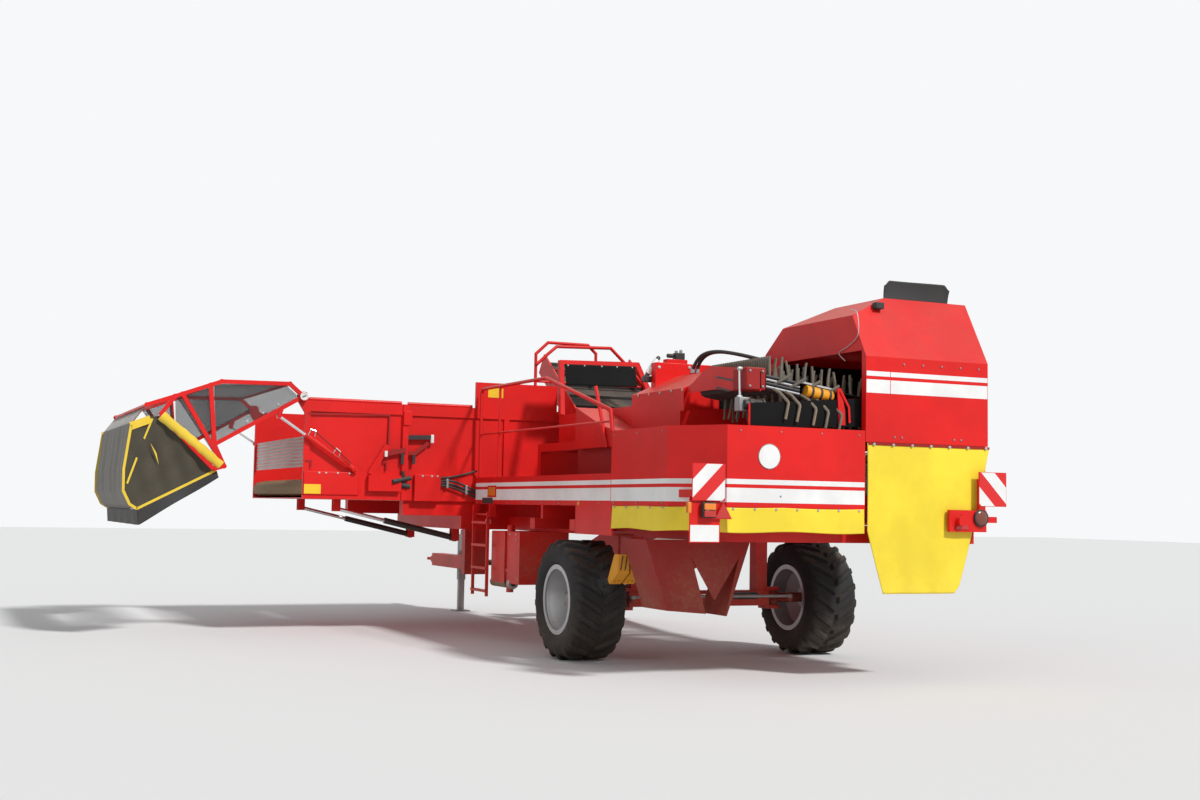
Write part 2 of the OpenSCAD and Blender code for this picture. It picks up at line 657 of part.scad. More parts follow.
// Rubber curtain that hangs over the channel's rear end
curtain_top = chan_top;
curtain_low = 700;
curtain_t = 12;
module rear_curtain() color(yellow) shift()
  along_y(-rear_back, curtain_t - rear_back)
    polygon([[chan_left + 11, curtain_top], [chan_right + 11, curtain_top], [1206, 1170], [1090, curtain_low + 60],
             [1040, curtain_low], [338, curtain_low], [chan_left + 11, 1200]]);

// Upper frame that carries the cleaner, the table and the panels
post_a = 80;
post_ls = -920;
post_rs = 20;
post_ys = [-2150, -980, 100, 1880];
module upper_frame() color(red) shift() {
  for (x = [post_ls, post_rs]) {
    for (y = post_ys) block([x, y, rail_top_z], [x + post_a, y + post_a, deck_z - post_a + eps]);
    block([x, finger_y[0], deck_z - post_a], [x + post_a, post_ys[3] + post_a, deck_z]);
  }
  for (y = post_ys)
    block([post_ls + post_a - eps, y, deck_z - post_a], [post_rs + eps, y + post_a, deck_z]);
  block([post_ls, -rear_back + sheet, 1700], [post_ls + post_a, post_ys[0] + eps, 1780]);
  block([-body_half + sheet, -1400, 1700], [post_ls + eps, -1340, 1760]);
  block([post_ls, -1400, 1700], [post_ls + post_a, -1340, deck_z - post_a + eps]);
}

// Low rear panels: the back, the chamfered corner and the left side
corner_x = 1095;
corner_y = 1880;
panel_right = 160;
module panel_2d(t) {
  difference() {
    polygon([[panel_right, -rear_back], [-corner_x, -rear_back], [-body_half, -corner_y],
             [-body_half, -plat_rear], [-body_half + t, -plat_rear], [-body_half + t, -corner_y + t / 2],
             [-corner_x + t / 2, -rear_back + t], [panel_right, -rear_back + t]]);
  }
}
side_low = 1116;
side_front = -96;
module rear_panels() color(red) shift() {
  translate([0, 0, panel_z]) linear_extrude(panel_top - panel_z) panel_2d(sheet);
  translate([0, 0, panel_top - 30]) linear_extrude(30) panel_2d(45);
  translate([0, 0, panel_z]) linear_extrude(30) panel_2d(45);
  block([-body_half, -plat_rear - 18, side_low], [-body_half + sheet, -plat_rear, panel_z + eps]);
  block([-body_half, -plat_rear - eps, side_low], [-body_half + sheet, side_front, plat_z]);
  translate([-725, -rear_back, 1766]) rotate([90, 0, 0]) cylinder(h = 4, r = 100);
}
module low_curtain() color(yellow) shift()
  translate([0, 0, 1176]) linear_extrude(panel_z - 1176) intersection() {
    panel_2d(sheet);
    translate([-body_half, -rear_back]) square([body_half + panel_right, rear_back - plat_rear - 20]);
  }

// Cross conveyor with rubber fingers behind the cleaning unit
finger_x = [-760, 420];
finger_z = [2120, 2230];
finger_y = [-2230, -1060];
finger_r = 80;
finger_h = 70;
finger_rows = 14;
finger_cols = 11;
finger_run = norm([finger_x[1] - finger_x[0], finger_z[1] - finger_z[0]]);
finger_tilt = atan2(finger_z[1] - finger_z[0], finger_x[1] - finger_x[0]);
module finger_web() color(black) shift() {
  translate([finger_x[0], 0, finger_z[0]]) rotate([0, -finger_tilt, 0]) {
    along_y(finger_y[0] + 14, finger_y[1] - 14) race_2d(finger_run, finger_r);
    for (x = [0, finger_run]) translate([x, 0, 0]) along_y(finger_y[0] + sheet, finger_y[1] - sheet) circle(r = 20);
    for (i = [0:finger_rows - 1], j = [0:finger_cols - 1])
      translate([(i + 0.5) * finger_run / finger_rows,
                 finger_y[0] + 60 + (j + (i % 2) / 2) * (finger_y[1] - finger_y[0] - 120) / finger_cols,
                 finger_r - 2])
        cylinder(h = finger_h, r1 = 14, r2 = 9, $fn = 5);
  }
}
module finger_sides() {
  for (y = [finger_y[0], finger_y[1] - 12]) along_y(y, y + 12)
    polygon([[finger_x[0] - 90, deck_z], [finger_x[1] + 90, deck_z + 60], [finger_x[1] + 90, finger_z[1] + 60],
             [finger_x[0] - 90, finger_z[0] + 60]]);
}

// Red cleaning box with a sloped lid
clean_x = [-750, 150];
clean_y = [-940, 90];
clean_z = 2390;
clean_ridge = 2580;
module clean_2d(t) polygon([[clean_x[0] + t, deck_z - (t > 0 ? 1 : 0)], [clean_x[0] + t, clean_z - t / 2],
  [-330, clean_ridge - t], [clean_x[1] - t, clean_ridge - t], [clean_x[1] - t, deck_z - (t > 0 ? 1 : 0)]]);
module cleaning_box() color(red) shift() {
  difference() {
    along_y(clean_y[0], clean_y[1]) clean_2d(0);
    along_y(clean_y[0] + sheet, clean_y[1] - sheet) clean_2d(sheet);
    block([clean_x[0] + 90, clean_y[1] - sheet - 1, deck_z + 60], [clean_x[1] - 90, clean_y[1] + 1, 2350]);
  }
  for (p = [hose_a[0], hose_b[0]]) translate([p[0], p[1], clean_ridge - eps]) cylinder(h = gland[1] + eps, r = gland[0]);
  finger_sides();
}

// Picking table along the left side
table_x = [-690, 560];
table_y = [100, 1960];
table_top = 2300;
table_t = 20;
table_roll = 55;
table_z = 2080;
module picking_table() color(red) shift() {
  for (x = [table_x[0], table_x[1] - table_t]) block([x, table_y[0], deck_z], [x + table_t, table_y[1], table_top]);
  for (y = [table_y[0], table_y[1] - 60])
    block([table_x[0] + table_t - eps, y, deck_z], [table_x[1] - table_t + eps, y + 60, deck_z + 20]);
}
module picking_belt() color(black) shift() {
  translate([0, table_y[0] + 90, table_z]) {
    along_x(table_x[0] + table_t + 6, table_x[1] - table_t - 6) race_2d(table_y[1] - table_y[0] - 180, table_roll);
    for (y = [0, table_y[1] - table_y[0] - 180])
      translate([table_x[0] + table_t, y, 0]) rotate([0, 90, 0])
        cylinder(h = table_x[1] - table_x[0] - 2 * table_t, r = 20);
  }
}

// Elevator that fills the bunker, with its hoop
fill_x = [-420, 650];
fill_a = [2040, 2110];
fill_b = [3100, 2870];
fill_run = norm(fill_b - fill_a);
fill_tilt = atan2(fill_b[1] - fill_a[1], fill_b[0] - fill_a[0]);
hoop_y = bunk_y + bunk_wall / 2;
module at_fill() shift() translate([0, fill_a[0], fill_a[1]]) rotate([fill_tilt, 0, 0]) children();
module filler_frame() {
  color(red) at_fill() {
    for (x = [fill_x[0], fill_x[1] - 20]) along_x(x, x + 20)
      polygon([[-40, -85], [fill_run + 90, -85], [fill_run + 90, 160], [60, 160], [-40, 85]]);
    for (u = [200, fill_run - 150]) bar([fill_x[0] + 1, u, 100], [fill_x[1] - 1, u, 100], 12);
  }
  color(red) shift() {
    pipe([[hoop_x[0], hoop_y, part_top], [hoop_x[0], hoop_y, 3000], [hoop_x[0] + 140, hoop_y, 3130],
          [hoop_x[1] - 100, hoop_y, 3130], [hoop_x[1], hoop_y, 3040], [hoop_x[1], hoop_y, 2700]], tube_r);
    bar([hoop_x[0], hoop_y, 2700], [fill_x[1] - 1, hoop_y, 2700], 12);
    bar([fill_x[0] + 1, hoop_y, 2412], [fill_x[1] - 1, hoop_y, 2412], 12);
    for (x = [fill_x[0], bunk_right - 50]) block([x, bunk_y, bunk_top + cap_h], [x + 20, bunk_y + bunk_wall, 2425]);
  }
}
hoop_x = [-700, 10];
module filler_belt() color(black) at_fill() {
  along_x(fill_x[0] + 26, fill_x[1] - 26) race_2d(fill_run, 60);
  for (u = [0, fill_run]) translate([fill_x[0] + 20, u, 0]) rotate([0, 90, 0])
    cylinder(h = fill_x[1] - fill_x[0] - 40, r = 20);
}

// Platform with its kick band, handrail and fold-up ladder
plat_z = 1366;
band_z = 1642;
deck_t = 6;
deck_x = post_ls - 5;
module platform() color(red) shift() {
  block([-body_half, -plat_rear, plat_z], [-body_half + sheet, plat_front, band_z]);
  block([-body_half + sheet - eps, -plat_rear + 2, plat_z], [deck_x, plat_front, plat_z + deck_t]);
  for (y = [-800, 700, plat_front - 60])
    block([-body_half + sheet, y, rail_top_z], [deck_x, y + 50, plat_z + eps]);
  for (y = [lad_y[0] - 26 - 2, lad_y[1] + 2]) difference() {
    block([lad_pin[0] - 25, y, lad_pin[1] - 25], [-body_half + sheet, y + 26, plat_z + eps]);
    translate([lad_pin[0], y - 1, lad_pin[1]]) rotate([-90, 0, 0]) cylinder(h = 28, r = lad_r + fit);
  }
}
rail_x = -body_half + 31;
module handrail() color(red) shift() {
  pipe([[rail_x, -plat_rear - 30, panel_top], [rail_x, -plat_rear - 30, 2080], [rail_x, -700, 2135],
        [rail_x, 820, rail_top], [rail_x, plat_front - 30, rail_top], [rail_x, plat_front - 30, plat_z + deck_t]],
       tube_r);
  bar([rail_x, 500, 2060], [rail_x, 1960, 2060], 12);
  for (y = [500, 1960]) bar([rail_x, y, plat_z + deck_t], [rail_x, y, y > 820 ? rail_top : 2530], 14);
}
lad_y = [1990, 2430];
lad_top = 1290;
lad_low = 436;
lad_x = -body_half - 50;
lad_pin = [-body_half - 30, 1262];
lad_r = 12;
module ladder() color(red) shift() {
  for (y = [lad_y[0], lad_y[1] - 20]) block([lad_x - 22, y, lad_low], [lad_x + 8, y + 20, lad_top]);
  for (i = [0:3]) block([lad_x - 30, lad_y[0], lad_low + 40 + i * 230], [lad_x + 8, lad_y[1], lad_low + 65 + i * 230]);
  for (y = [lad_y[0], lad_y[1] - 20])
    block([lad_x - 22, y, lad_top - 60], [lad_pin[0] + 18, y + 20, lad_top]);
  translate([lad_pin[0], lad_y[0] - 26, lad_pin[1]]) rotate([-90, 0, 0])
    cylinder(h = lad_y[1] - lad_y[0] + 52, r = lad_r);
}

// Bunker: a fixed part and a liftable head whose walls run outside of it
bunk_top = bunk_z + bunk_h;
bunk_front = bunk_y + bunk_len;
floor_t = 10;
belt_z = 1500;
belt_r = 70;
rib_w = 60;
bay = 1100;
band_h = 275;
dent = 22;
cap_h = 50;
module panelled(x0, x1, y, out) {
  n = max(1, round((x1 - x0) / bay));
  w = (x1 - x0 - rib_w) / n;
  difference() {
    block([x0, y, bunk_z], [x1, y + bunk_wall, bunk_top]);
    for (i = [0:n - 1])
      block([x0 + rib_w + i * w, out > 0 ? y + bunk_wall - dent : y - 1, bunk_z + band_h],
            [x0 + (i + 1) * w, out > 0 ? y + bunk_wall + 1 : y + dent, bunk_top - rib_w]);
  }
  block([x0, y, bunk_top - eps], [x1, y + bunk_wall, bunk_top + cap_h]);
}
module bunker() color(red) shift() {
  difference() {
    union() {
      panelled(-split_x, bunk_right, bunk_y, -1);
      panelled(-split_x, bunk_right, bunk_front - bunk_wall, 1);
    }
    for (y = [bunk_y, bunk_front - bunk_wall])
      translate([tilt_at[0], y - 1, tilt_at[1]]) rotate([-90, 0, 0]) cylinder(h = bunk_wall + 2, r = tilt_r + fit);
  }
  block([bunk_right - bunk_wall, bunk_y + bunk_wall - eps, bunk_z],
        [bunk_right, bunk_front - bunk_wall + eps, bunk_top]);
  block([-split_x + 25, bunk_y + bunk_wall - eps, bunk_z],
        [bunk_right - bunk_wall + eps, bunk_front - bunk_wall + eps, bunk_z + floor_t]);
  block([-body_half, bunk_y, bunk_top], [-450, bunk_y + bunk_wall, part_top]);
  for (y = [bunk_y + bunk_wall, bunk_front - bunk_wall - cross_w])
    block([-split_x + 60, y, rail_top_z], [bunk_right, y + cross_w, bunk_z + eps]);
}
module bunker_floor() color(steel) shift()
  translate([bunk_right - bunk_wall - 90, 0, belt_z]) rotate([0, 0, 90])
    web(split_x + bunk_right - bunk_wall - 180, belt_r, bunk_y + bunk_wall, bunk_front - bunk_wall);
head_y = [bunk_y - gap - bunk_wall, bunk_front + gap];
head_lap = 70;
tilt_at = [-split_x + 30, 1570];
tilt_r = 20;
boom_at = [-head_x - 30, 2410];
boom_off = gap + 30;
boom_y = [head_y[0] - boom_off, head_y[1] + bunk_wall + boom_off];
boom_base = [-head_x + 520, 1690];
boom_eye = [-head_x - 270, 2205];
lift_base = [-body_half - 73, 1000];
lift_eye = [-split_x - 550, 1295];
lift_ys = [bunk_y + 400, bunk_front - 400];
lift_r = 32;
head_box = [345, 60, 160];
head_post = 14;
ram_pad = 60;
module bunker_head() color(red) shift() {
  for (k = [0, 1]) {
    y = head_y[k];
    s = k == 0 ? -1 : 1;
    face = k == 0 ? y : y + bunk_wall;
    panelled(-head_x, -split_x + head_lap, y, s);
    block([boom_base[0] - ram_pad, y, bunk_z], [boom_base[0] + ram_pad, y + bunk_wall, boom_base[1] + ram_pad]);
    along_y(y, y + bunk_wall) polygon([[-head_x + 1, 2250], [boom_at[0] - 45, 2370], [boom_at[0] - 45, 2450],
      [boom_at[0] + 45, 2460], [-head_x + 60, bunk_top]]);
    for (p = [boom_at, boom_base])
      translate([p[0], face, p[1]]) rotate([-s * 90, 0, 0]) cylinder(h = 2 * boom_off, r = p == boom_at ? 20 : ram_pin);
    translate([tilt_at[0], k == 0 ? y + bunk_wall - eps : y - gap - bunk_wall, tilt_at[1]]) rotate([-90, 0, 0])
      cylinder(h = gap + bunk_wall + eps, r = tilt_r);
  }
  block([-head_x, head_y[0] + bunk_wall - eps, bunk_z], [-split_x - 15, head_y[1] + eps, bunk_z + floor_t]);
  block([-split_x - 5 - head_box[0], head_y[0] - head_box[1], bunk_z + 90],
        [-split_x - 5, head_y[0] + eps, bunk_z + 90 + head_box[2]]);
  block([-split_x + 10, head_y[0] - head_post, bunk_z], [-split_x + head_lap, head_y[0] + eps, bunk_top + cap_h]);
  for (y = lift_ys, s = [-1, 1])
    block([lift_eye[0] - 40, y + s * 27 - 6, lift_eye[1] - 30], [lift_eye[0] + 40, y + s * 27 + 6, bunk_z + eps]);
}
module head_belt() color(steel) shift()
  translate([-split_x - 90, 0, belt_z]) rotate([0, 0, 90])
    web(head_x - split_x - 170, belt_r, head_y[0] + bunk_wall, head_y[1]);

// Cylinders that lift the head, and those that fold the boom
function ram_dir(a, b) = atan2(b[0] - a[0], b[1] - a[1]);
module at_side(p, y, q) shift() translate([p[0], y, p[1]]) rotate([0, ram_dir(p, q), 0]) rotate([0, 0, 90]) children();
lift_len = norm(lift_eye - lift_base);
boom_len = norm(boom_eye - boom_base);
module head_barrels() color(black) for (y = lift_ys)
  at_side(lift_base, y, lift_eye) ram_tube(800, lift_r, 20);
module head_rods() color(silver) for (y = lift_ys)
  at_side(lift_base, y, lift_eye) ram_shaft(500, lift_len, 20);
module boom_barrels() color(black) for (y = boom_y)
  at_side(boom_base, y, boom_eye) ram_tube(620, 24, 14);
module boom_rods() color(silver) for (y = boom_y)
  at_side(boom_base, y, boom_eye) ram_shaft(330, boom_len, 14);

// Discharge boom: two side frames joined by cross tubes, in the X and Z plane
boom_pts = [for (p = [[-860, -510], [-915, 70.4], [-1180, -29.6], [-760, -720], [-1510, -150], [-1250, -56],
                      [-810, 110], [-140, 120]]) boom_at + p];
boom_r = 20;
sail_pts = [for (p = [[-1380, -240], [-860, -750], [-1620, -1150]]) boom_at + p];
boom_tubes = [
  [boom_pts[5], sail_pts[0]], [sail_pts[0], sail_pts[1]], [sail_pts[1], boom_pts[3]],
  [boom_at, boom_pts[0]], [boom_pts[0], boom_pts[1]],
  [boom_pts[2], boom_pts[3]], [boom_pts[4], boom_pts[5]], [boom_pts[5], boom_pts[6]],
  [boom_pts[6], boom_pts[7]], [boom_pts[7], boom_at], [boom_pts[0], boom_pts[3]]
];
function p3(p, y) = [p[0], y, p[1]];
module strip_2d(p, q, w) {
  d = q - p;
  translate(p) rotate(atan2(d[1], d[0])) translate([0, -w / 2]) square([norm(d), w]);
}
module boom_frame() color(red) shift() {
  for (y = boom_y) along_y(y - boom_r, y + boom_r) difference() {
    union() {
      for (t = boom_tubes) strip_2d(t[0], t[1], 2 * boom_r);
      for (p = boom_pts) translate(p) circle(r = boom_r + 4);
      translate(boom_at) circle(r = 48);
    }
    translate(boom_at) circle(r = 20 + fit);
  }
  for (y = boom_y, o = [-28, 20]) along_y(y + o, y + o + 8) union() {
    strip_2d(boom_eye, boom_eye + [25, 78], 40);
    translate(boom_eye) circle(r = 25);
  }
  for (p = [boom_pts[1], boom_pts[3], boom_pts[4], boom_pts[5], boom_pts[7]])
    bar(p3(p, boom_y[0] + boom_r - eps), p3(p, boom_y[1] - boom_r + eps), 16);
}
module boom_net() color(black) shift() {
  along_y(boom_y[0] + boom_r, boom_y[1] - boom_r)
    polygon([boom_pts[7] + [-20, 0], boom_pts[6], boom_pts[6] + [0, 5], boom_pts[7] + [-20, 5]]);
}

// Drop sail: an outer sheet under the end tube, and a side panel within each frame
sail_t = 10;
sail_foot = 150;
module sail() color(yellow) shift() {
  lo = boom_y[0] + boom_r + 0.3;
  hi = boom_y[1] - boom_r - 0.3;
  top = boom_pts[4] + [0, -16.3];
  mid = [-left_reach, 1640];
  foot = sail_pts[2] + [20, -sail_foot];
  along_y(lo, hi) polygon([top + [-5, 0], mid, sail_pts[2], foot, foot + [sail_t, 0], sail_pts[2] + [sail_t, 0],
    mid + [sail_t, 0], top + [5, 0]]);
  for (y = [lo, hi - sail_t]) along_y(y, y + sail_t)
    polygon([top + [0, 0], mid + [1, 0], sail_pts[2] + [1, 0], sail_pts[1] + [-10, -20], sail_pts[0] + [10, -20]]);
}

// Warning boards with their lamps, on their arms
board_a = 282;
board_t = 6;
board_z = 1555;
module board(x, z) {
  block([x, -rear_back - 70, z - board_a / 2], [x + board_a, -rear_back - 70 + board_t, z + board_a / 2]);
}
function corner_line(x) = -rear_back + (-corner_x - x) / (body_half - corner_x) * (rear_back - corner_y);
module board_left() color(red) shift() {
  board(-body_half - 53, board_z);
  y = -rear_back - 64 - eps;
  a = -body_half + 57;
  b = a + 60;
  translate([0, 0, 1440]) linear_extrude(60)
    polygon([[a, y], [b, y], [b, corner_line(b)], [a, corner_line(a)]]);
  block([-body_half - 63, y + 14, 1100], [-body_half + 197, y + 20, 1445]);
}
module board_right() color(red) shift() {
  y = -rear_back - 60;
  board(right_reach - board_a, board_z);
  block([1240, -rear_back - 64 - eps, 1330], [1300, y + 30, 1640]);
  block([940, y, 1203], [1313, y + 30, 1381]);
  block([1312, y, 1280], [1420, y + 30, 1330]);
  block([1392, y, 1280], [1420, y + 150, 1330]);
  block([chan_right, y + 100, 1280], [1420, y + 150, 1330]);
  translate([1040, y + eps, 1290]) rotate([90, 0, 0]) cylinder(h = rear_reach - rear_back - 60, r = 40);
}

// Return hopper under the machine, with the hanger of the wheel chocks
hop_y = [-1500, -1060];
hop_t = 12;
hop_top = [-body_half + 12, -400];
hop_low = [-1170, -615];
hop_z = [530, 480];
module hopper_wall(top, low, z) along_y(hop_y[0] + hop_t - eps, hop_y[1])
  polygon([[top, rail_z], [low, z], [low + hop_t, z], [top + hop_t, rail_z]]);
module under_hopper() color(dark_red) shift() {
  along_y(hop_y[0], hop_y[0] + hop_t)
    polygon([[hop_top[0], rail_z], [hop_low[0], hop_z[0]], [-810, 500], [-950, 960], [-730, 610], [-505, 960],
             [hop_low[1] - 13, hop_z[1]], [hop_low[1], hop_z[1]], [hop_top[1], rail_z]]);
  hopper_wall(hop_top[0], hop_low[0], hop_z[0]);
  hopper_wall(hop_top[1] - hop_t, hop_low[1] - hop_t, hop_z[1]);
  for (x = chock_xs) block([x + 30, hang_y[0], chock_z + chock_h], [x + 50, hang_y[1], side_low + eps]);
  block([-body_half + sheet, hang_y[0], side_low], [chock_xs[1] + 50, hang_y[1], side_low + 20]);
}

// Pair of wheel chocks, each a hollow wedge with a slotted back
chock_xs = [-body_half + 40, -body_half + 165];
chock_w = 105;
chock_y = -920;
chock_z = 745;
chock_h = 215;
hang_y = [-plat_rear - 16, -plat_rear - 10];
module wheel_chocks() color(yellow) shift() for (x = chock_xs) difference() {
  along_x(x, x + chock_w)
    polygon([[chock_y, chock_z + 60], [chock_y, chock_z + chock_h], [chock_y + 75, chock_z + chock_h],
             [chock_y + 200, chock_z], [chock_y + 170, chock_z - 40]]);
  for (k = [0, 1]) translate([x + 22 + k * 36, chock_y + 150, chock_z - 60]) rotate([35, 0, 0]) cube([20, 25, 150]);
}

// Boxes behind the ladder, with an upright tube between them
box_rows = [[1250, 1555], [1655, 2030]];
box_low = 590;
tube_at = [-body_half + 45, 1605];
module side_boxes() color(red) shift() {
  for (r = box_rows) block([-body_half, r[0], box_low], [-rail_left + 100, r[1], rail_z]);
  block([-rail_left - 60, box_rows[0][1] - eps, box_low], [-rail_left + 100, box_rows[1][0] + eps, rail_z]);
  translate([tube_at[0], tube_at[1], 500]) cylinder(h = 660, r = 36);
  block([tube_at[0] - 36, box_rows[0][1] - eps, 700], [tube_at[0] + 36, box_rows[1][0] + eps, 730]);
}

// Two hoses from the cleaner's lid to the tall housing; each route's points are X, Y and Z
hose_r = 16;
hose_sides = 8;
gland = [26, 12];
hose_b = [
  [-260, -260, 2592], [-260, -264, 2620], [-258, -276, 2652], [-252, -300, 2690], [-244, -336, 2722],
  [-232, -382, 2748], [-214, -436, 2764], [-190, -494, 2770], [-158, -554, 2768], [-118, -612, 2758],
  [-72, -666, 2744], [-20, -714, 2728], [36, -754, 2710], [86, -782, 2694], [122, -794, 2684], [153, -798, 2680]];
hose_a = [
  [-308, -260, 2592], [-308, -266, 2620], [-305, -284, 2652], [-298, -312, 2690], [-290, -348, 2722],
  [-278, -394, 2748], [-259, -451, 2764], [-234, -512, 2770], [-200, -577, 2768], [-158, -639, 2758],
  [-108, -697, 2744], [-53, -749, 2728], [8, -793, 2710], [64, -826, 2694], [110, -840, 2684], [153, -846, 2680]];
function unit(v) = v / norm(v);
function tangent(p, i) = i == 0 ? [0, 0, 1] : i == len(p) - 1 ? [1, 0, 0] : unit(p[i + 1] - p[i - 1]);
function ring(p, i, t) = [for (k = [0:hose_sides - 1])
  let (u = unit(cross(t, [0.82, 0.57, 0])), v = cross(t, u), a = k * 360 / hose_sides)
  p[i] + hose_r * (cos(a) * u + sin(a) * v)];
module hose(p) {
  n = len(p);
  m = hose_sides;
  polyhedron(
    points = [for (i = [0:n - 1]) each ring(p, i, tangent(p, i))],
    faces = concat([[for (k = [0:m - 1]) k]], [[for (k = [0:m - 1]) n * m - 1 - k]],
                   [for (i = [0:n - 2], k = [0:m - 1]) [i * m + k, (i + 1) * m + k, (i + 1) * m + (k + 1) % m]],
                   [for (i = [0:n - 2], k = [0:m - 1]) [i * m + k, (i + 1) * m + (k + 1) % m, i * m + (k + 1) % m]]));
}
module hose_upper() color(black) shift() hose(hose_a);
module hose_lower() color(black) shift() hose(hose_b);

main_frame();
outriggers();
upper_frame();
axle_beam();
knuckle_left();
knuckle_right();
tie_rod();
steer_barrel();
steer_rod();
rim_left();
rim_right();
tyre_left();
tyre_right();
drawbar();
drawbar_barrel();
drawbar_rod();
jack_tube();
jack_leg();
channel();
second_web();
intake_frame();
first_web();
disc_left();
disc_right();
diabolo_rollers();
intake_barrels();
intake_rods();
rear_hood();
hood_flap();
rear_curtain();
rear_panels();
low_curtain();
finger_web();
cleaning_box();
picking_table();
picking_belt();
filler_frame();
filler_belt();
platform();
handrail();
ladder();
bunker();
bunker_floor();
bunker_head();
head_belt();
head_barrels();
head_rods();
boom_frame();
boom_net();
boom_barrels();
boom_rods();
sail();
board_left();
board_right();
under_hopper();
wheel_chocks();
side_boxes();
pto_gearbox();
hose_upper();
hose_lower();
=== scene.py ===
import json
import math

import bmesh
import bpy
import numpy as np
from mathutils import Euler, Matrix, Vector


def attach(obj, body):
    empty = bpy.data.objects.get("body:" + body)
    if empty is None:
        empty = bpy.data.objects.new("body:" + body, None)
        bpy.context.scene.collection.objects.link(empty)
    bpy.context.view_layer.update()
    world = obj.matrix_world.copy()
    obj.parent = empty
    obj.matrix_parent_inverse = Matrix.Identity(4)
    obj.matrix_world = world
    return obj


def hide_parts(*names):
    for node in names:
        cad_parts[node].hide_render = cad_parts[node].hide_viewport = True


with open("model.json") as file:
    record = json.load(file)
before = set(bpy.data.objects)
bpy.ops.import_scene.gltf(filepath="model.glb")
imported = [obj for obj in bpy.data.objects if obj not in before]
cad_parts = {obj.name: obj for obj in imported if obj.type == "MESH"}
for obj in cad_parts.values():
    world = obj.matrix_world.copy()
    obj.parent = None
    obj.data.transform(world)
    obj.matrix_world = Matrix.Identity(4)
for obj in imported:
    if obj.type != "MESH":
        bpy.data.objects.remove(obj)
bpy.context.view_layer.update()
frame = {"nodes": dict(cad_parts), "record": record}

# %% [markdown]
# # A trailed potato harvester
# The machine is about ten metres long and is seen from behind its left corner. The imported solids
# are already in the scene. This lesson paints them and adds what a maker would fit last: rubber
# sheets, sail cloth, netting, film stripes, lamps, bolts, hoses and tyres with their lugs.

AXLE = np.array([1.720, -2.228, 0.0])


def at(points):
    """Points counted from the axle's centre line, moved to the frame that the solids share."""
    return np.asarray(points, float) + AXLE


# %% [markdown]
# ## The camera
# The photographer stood about twelve metres behind the axle and six to its left, with the camera at
# chest height. The lens and the angles were worked out from the edges of the square rear body, so
# the view is set in numbers and nothing has to be nudged by eye.

# %% Camera
LENS, YAW, PITCH, ROLL = 44.6, 24.3, 4.17, 1.01
eye = bpy.data.cameras.new("Photographer")
eye.lens, eye.sensor_width, eye.clip_end = LENS, 36.0, 200.0
camera = bpy.data.objects.new("Photographer", eye)
bpy.context.collection.objects.link(camera)
turn = Euler((math.radians(90 + PITCH), 0, math.radians(-YAW))).to_matrix()
turn = turn @ Matrix.Rotation(math.radians(ROLL), 3, "Z")
camera.matrix_world = Matrix.Translation(at([-6.648, -12.258, 1.343])) @ turn.to_4x4()
bpy.context.scene.camera = camera
print("camera at", [round(v, 3) for v in camera.location])

# %% [markdown]
# ## Surfaces from arrays
# Every new shape is a grid of points, worked out as whole arrays, whose neighbours are joined by
# quads. A grid may close on itself one way, as a tube does, or both ways, as a tyre does.


# %% Grid helper
def mesh_of(name, points, faces):
    """Mesh from an array of points (n, 3) and an array of faces (m, k), all with k corners."""
    mesh = bpy.data.meshes.new(name)
    points, faces = np.asarray(points, float), np.asarray(faces)
    count, corners = faces.shape
    mesh.vertices.add(len(points))
    mesh.vertices.foreach_set("co", points.ravel())
    mesh.loops.add(count * corners)
    mesh.loops.foreach_set("vertex_index", faces.ravel().astype(np.int32))
    mesh.polygons.add(count)
    mesh.polygons.foreach_set("loop_start", np.arange(0, count * corners, corners, dtype=np.int32))
    mesh.update(calc_edges=True)
    mesh.validate()
    piece = bpy.data.objects.new(name, mesh)
    bpy.context.collection.objects.link(piece)
    return piece


def quads_of(rows, cols, wrap_u=False, wrap_v=False):
    """Corner numbers of the quads on a grid, with its ends joined where it wraps."""
    ids = np.arange(rows * cols).reshape(rows, cols)
    if wrap_u:
        ids = np.vstack([ids, ids[:1]])
    if wrap_v:
        ids = np.hstack([ids, ids[:, :1]])
    return np.stack([ids[:-1, :-1], ids[1:, :-1], ids[1:, 1:], ids[:-1, 1:]], -1).reshape(-1, 4)


def surface(name, points, wrap_u=False, wrap_v=False, uv=None):
    """Surface through a grid of points (rows, cols, 3). uv gives each point a place in metres on the cloth."""
    rows, cols = points.shape[:2]
    piece = mesh_of(name, points.reshape(-1, 3), quads_of(rows, cols, wrap_u, wrap_v))
    if uv is not None:
        layer = piece.data.uv_layers.new(name="cloth")
        corner = np.empty(len(piece.data.loops), np.int32)
        piece.data.loops.foreach_get("vertex_index", corner)
        layer.uv.foreach_set("vector", uv.reshape(-1, 2)[corner].ravel())
    return piece


def tidy(piece, angle=35, outward=True, weld=1e-5):
    """Merges doubled points, turns the faces outwards and keeps edges sharper than the angle crisp."""
    grid = bmesh.new()
    grid.from_mesh(piece.data)
    bmesh.ops.remove_doubles(grid, verts=grid.verts, dist=weld)
    bmesh.ops.dissolve_degenerate(grid, edges=grid.edges, dist=weld)
    if outward:
        bmesh.ops.recalc_face_normals(grid, faces=grid.faces)
    grid.to_mesh(piece.data)
    grid.free()
    piece.data.polygons.foreach_set("use_smooth", [True] * len(piece.data.polygons))
    piece.data.set_sharp_from_angle(angle=math.radians(angle))
    return piece


print("grid helpers ready")

# %% [markdown]
# Two rules make most of the small parts. A swept part is a flat section carried along a path, and
# a turned part is a profile carried round an axis. Both are the same grid with another formula.


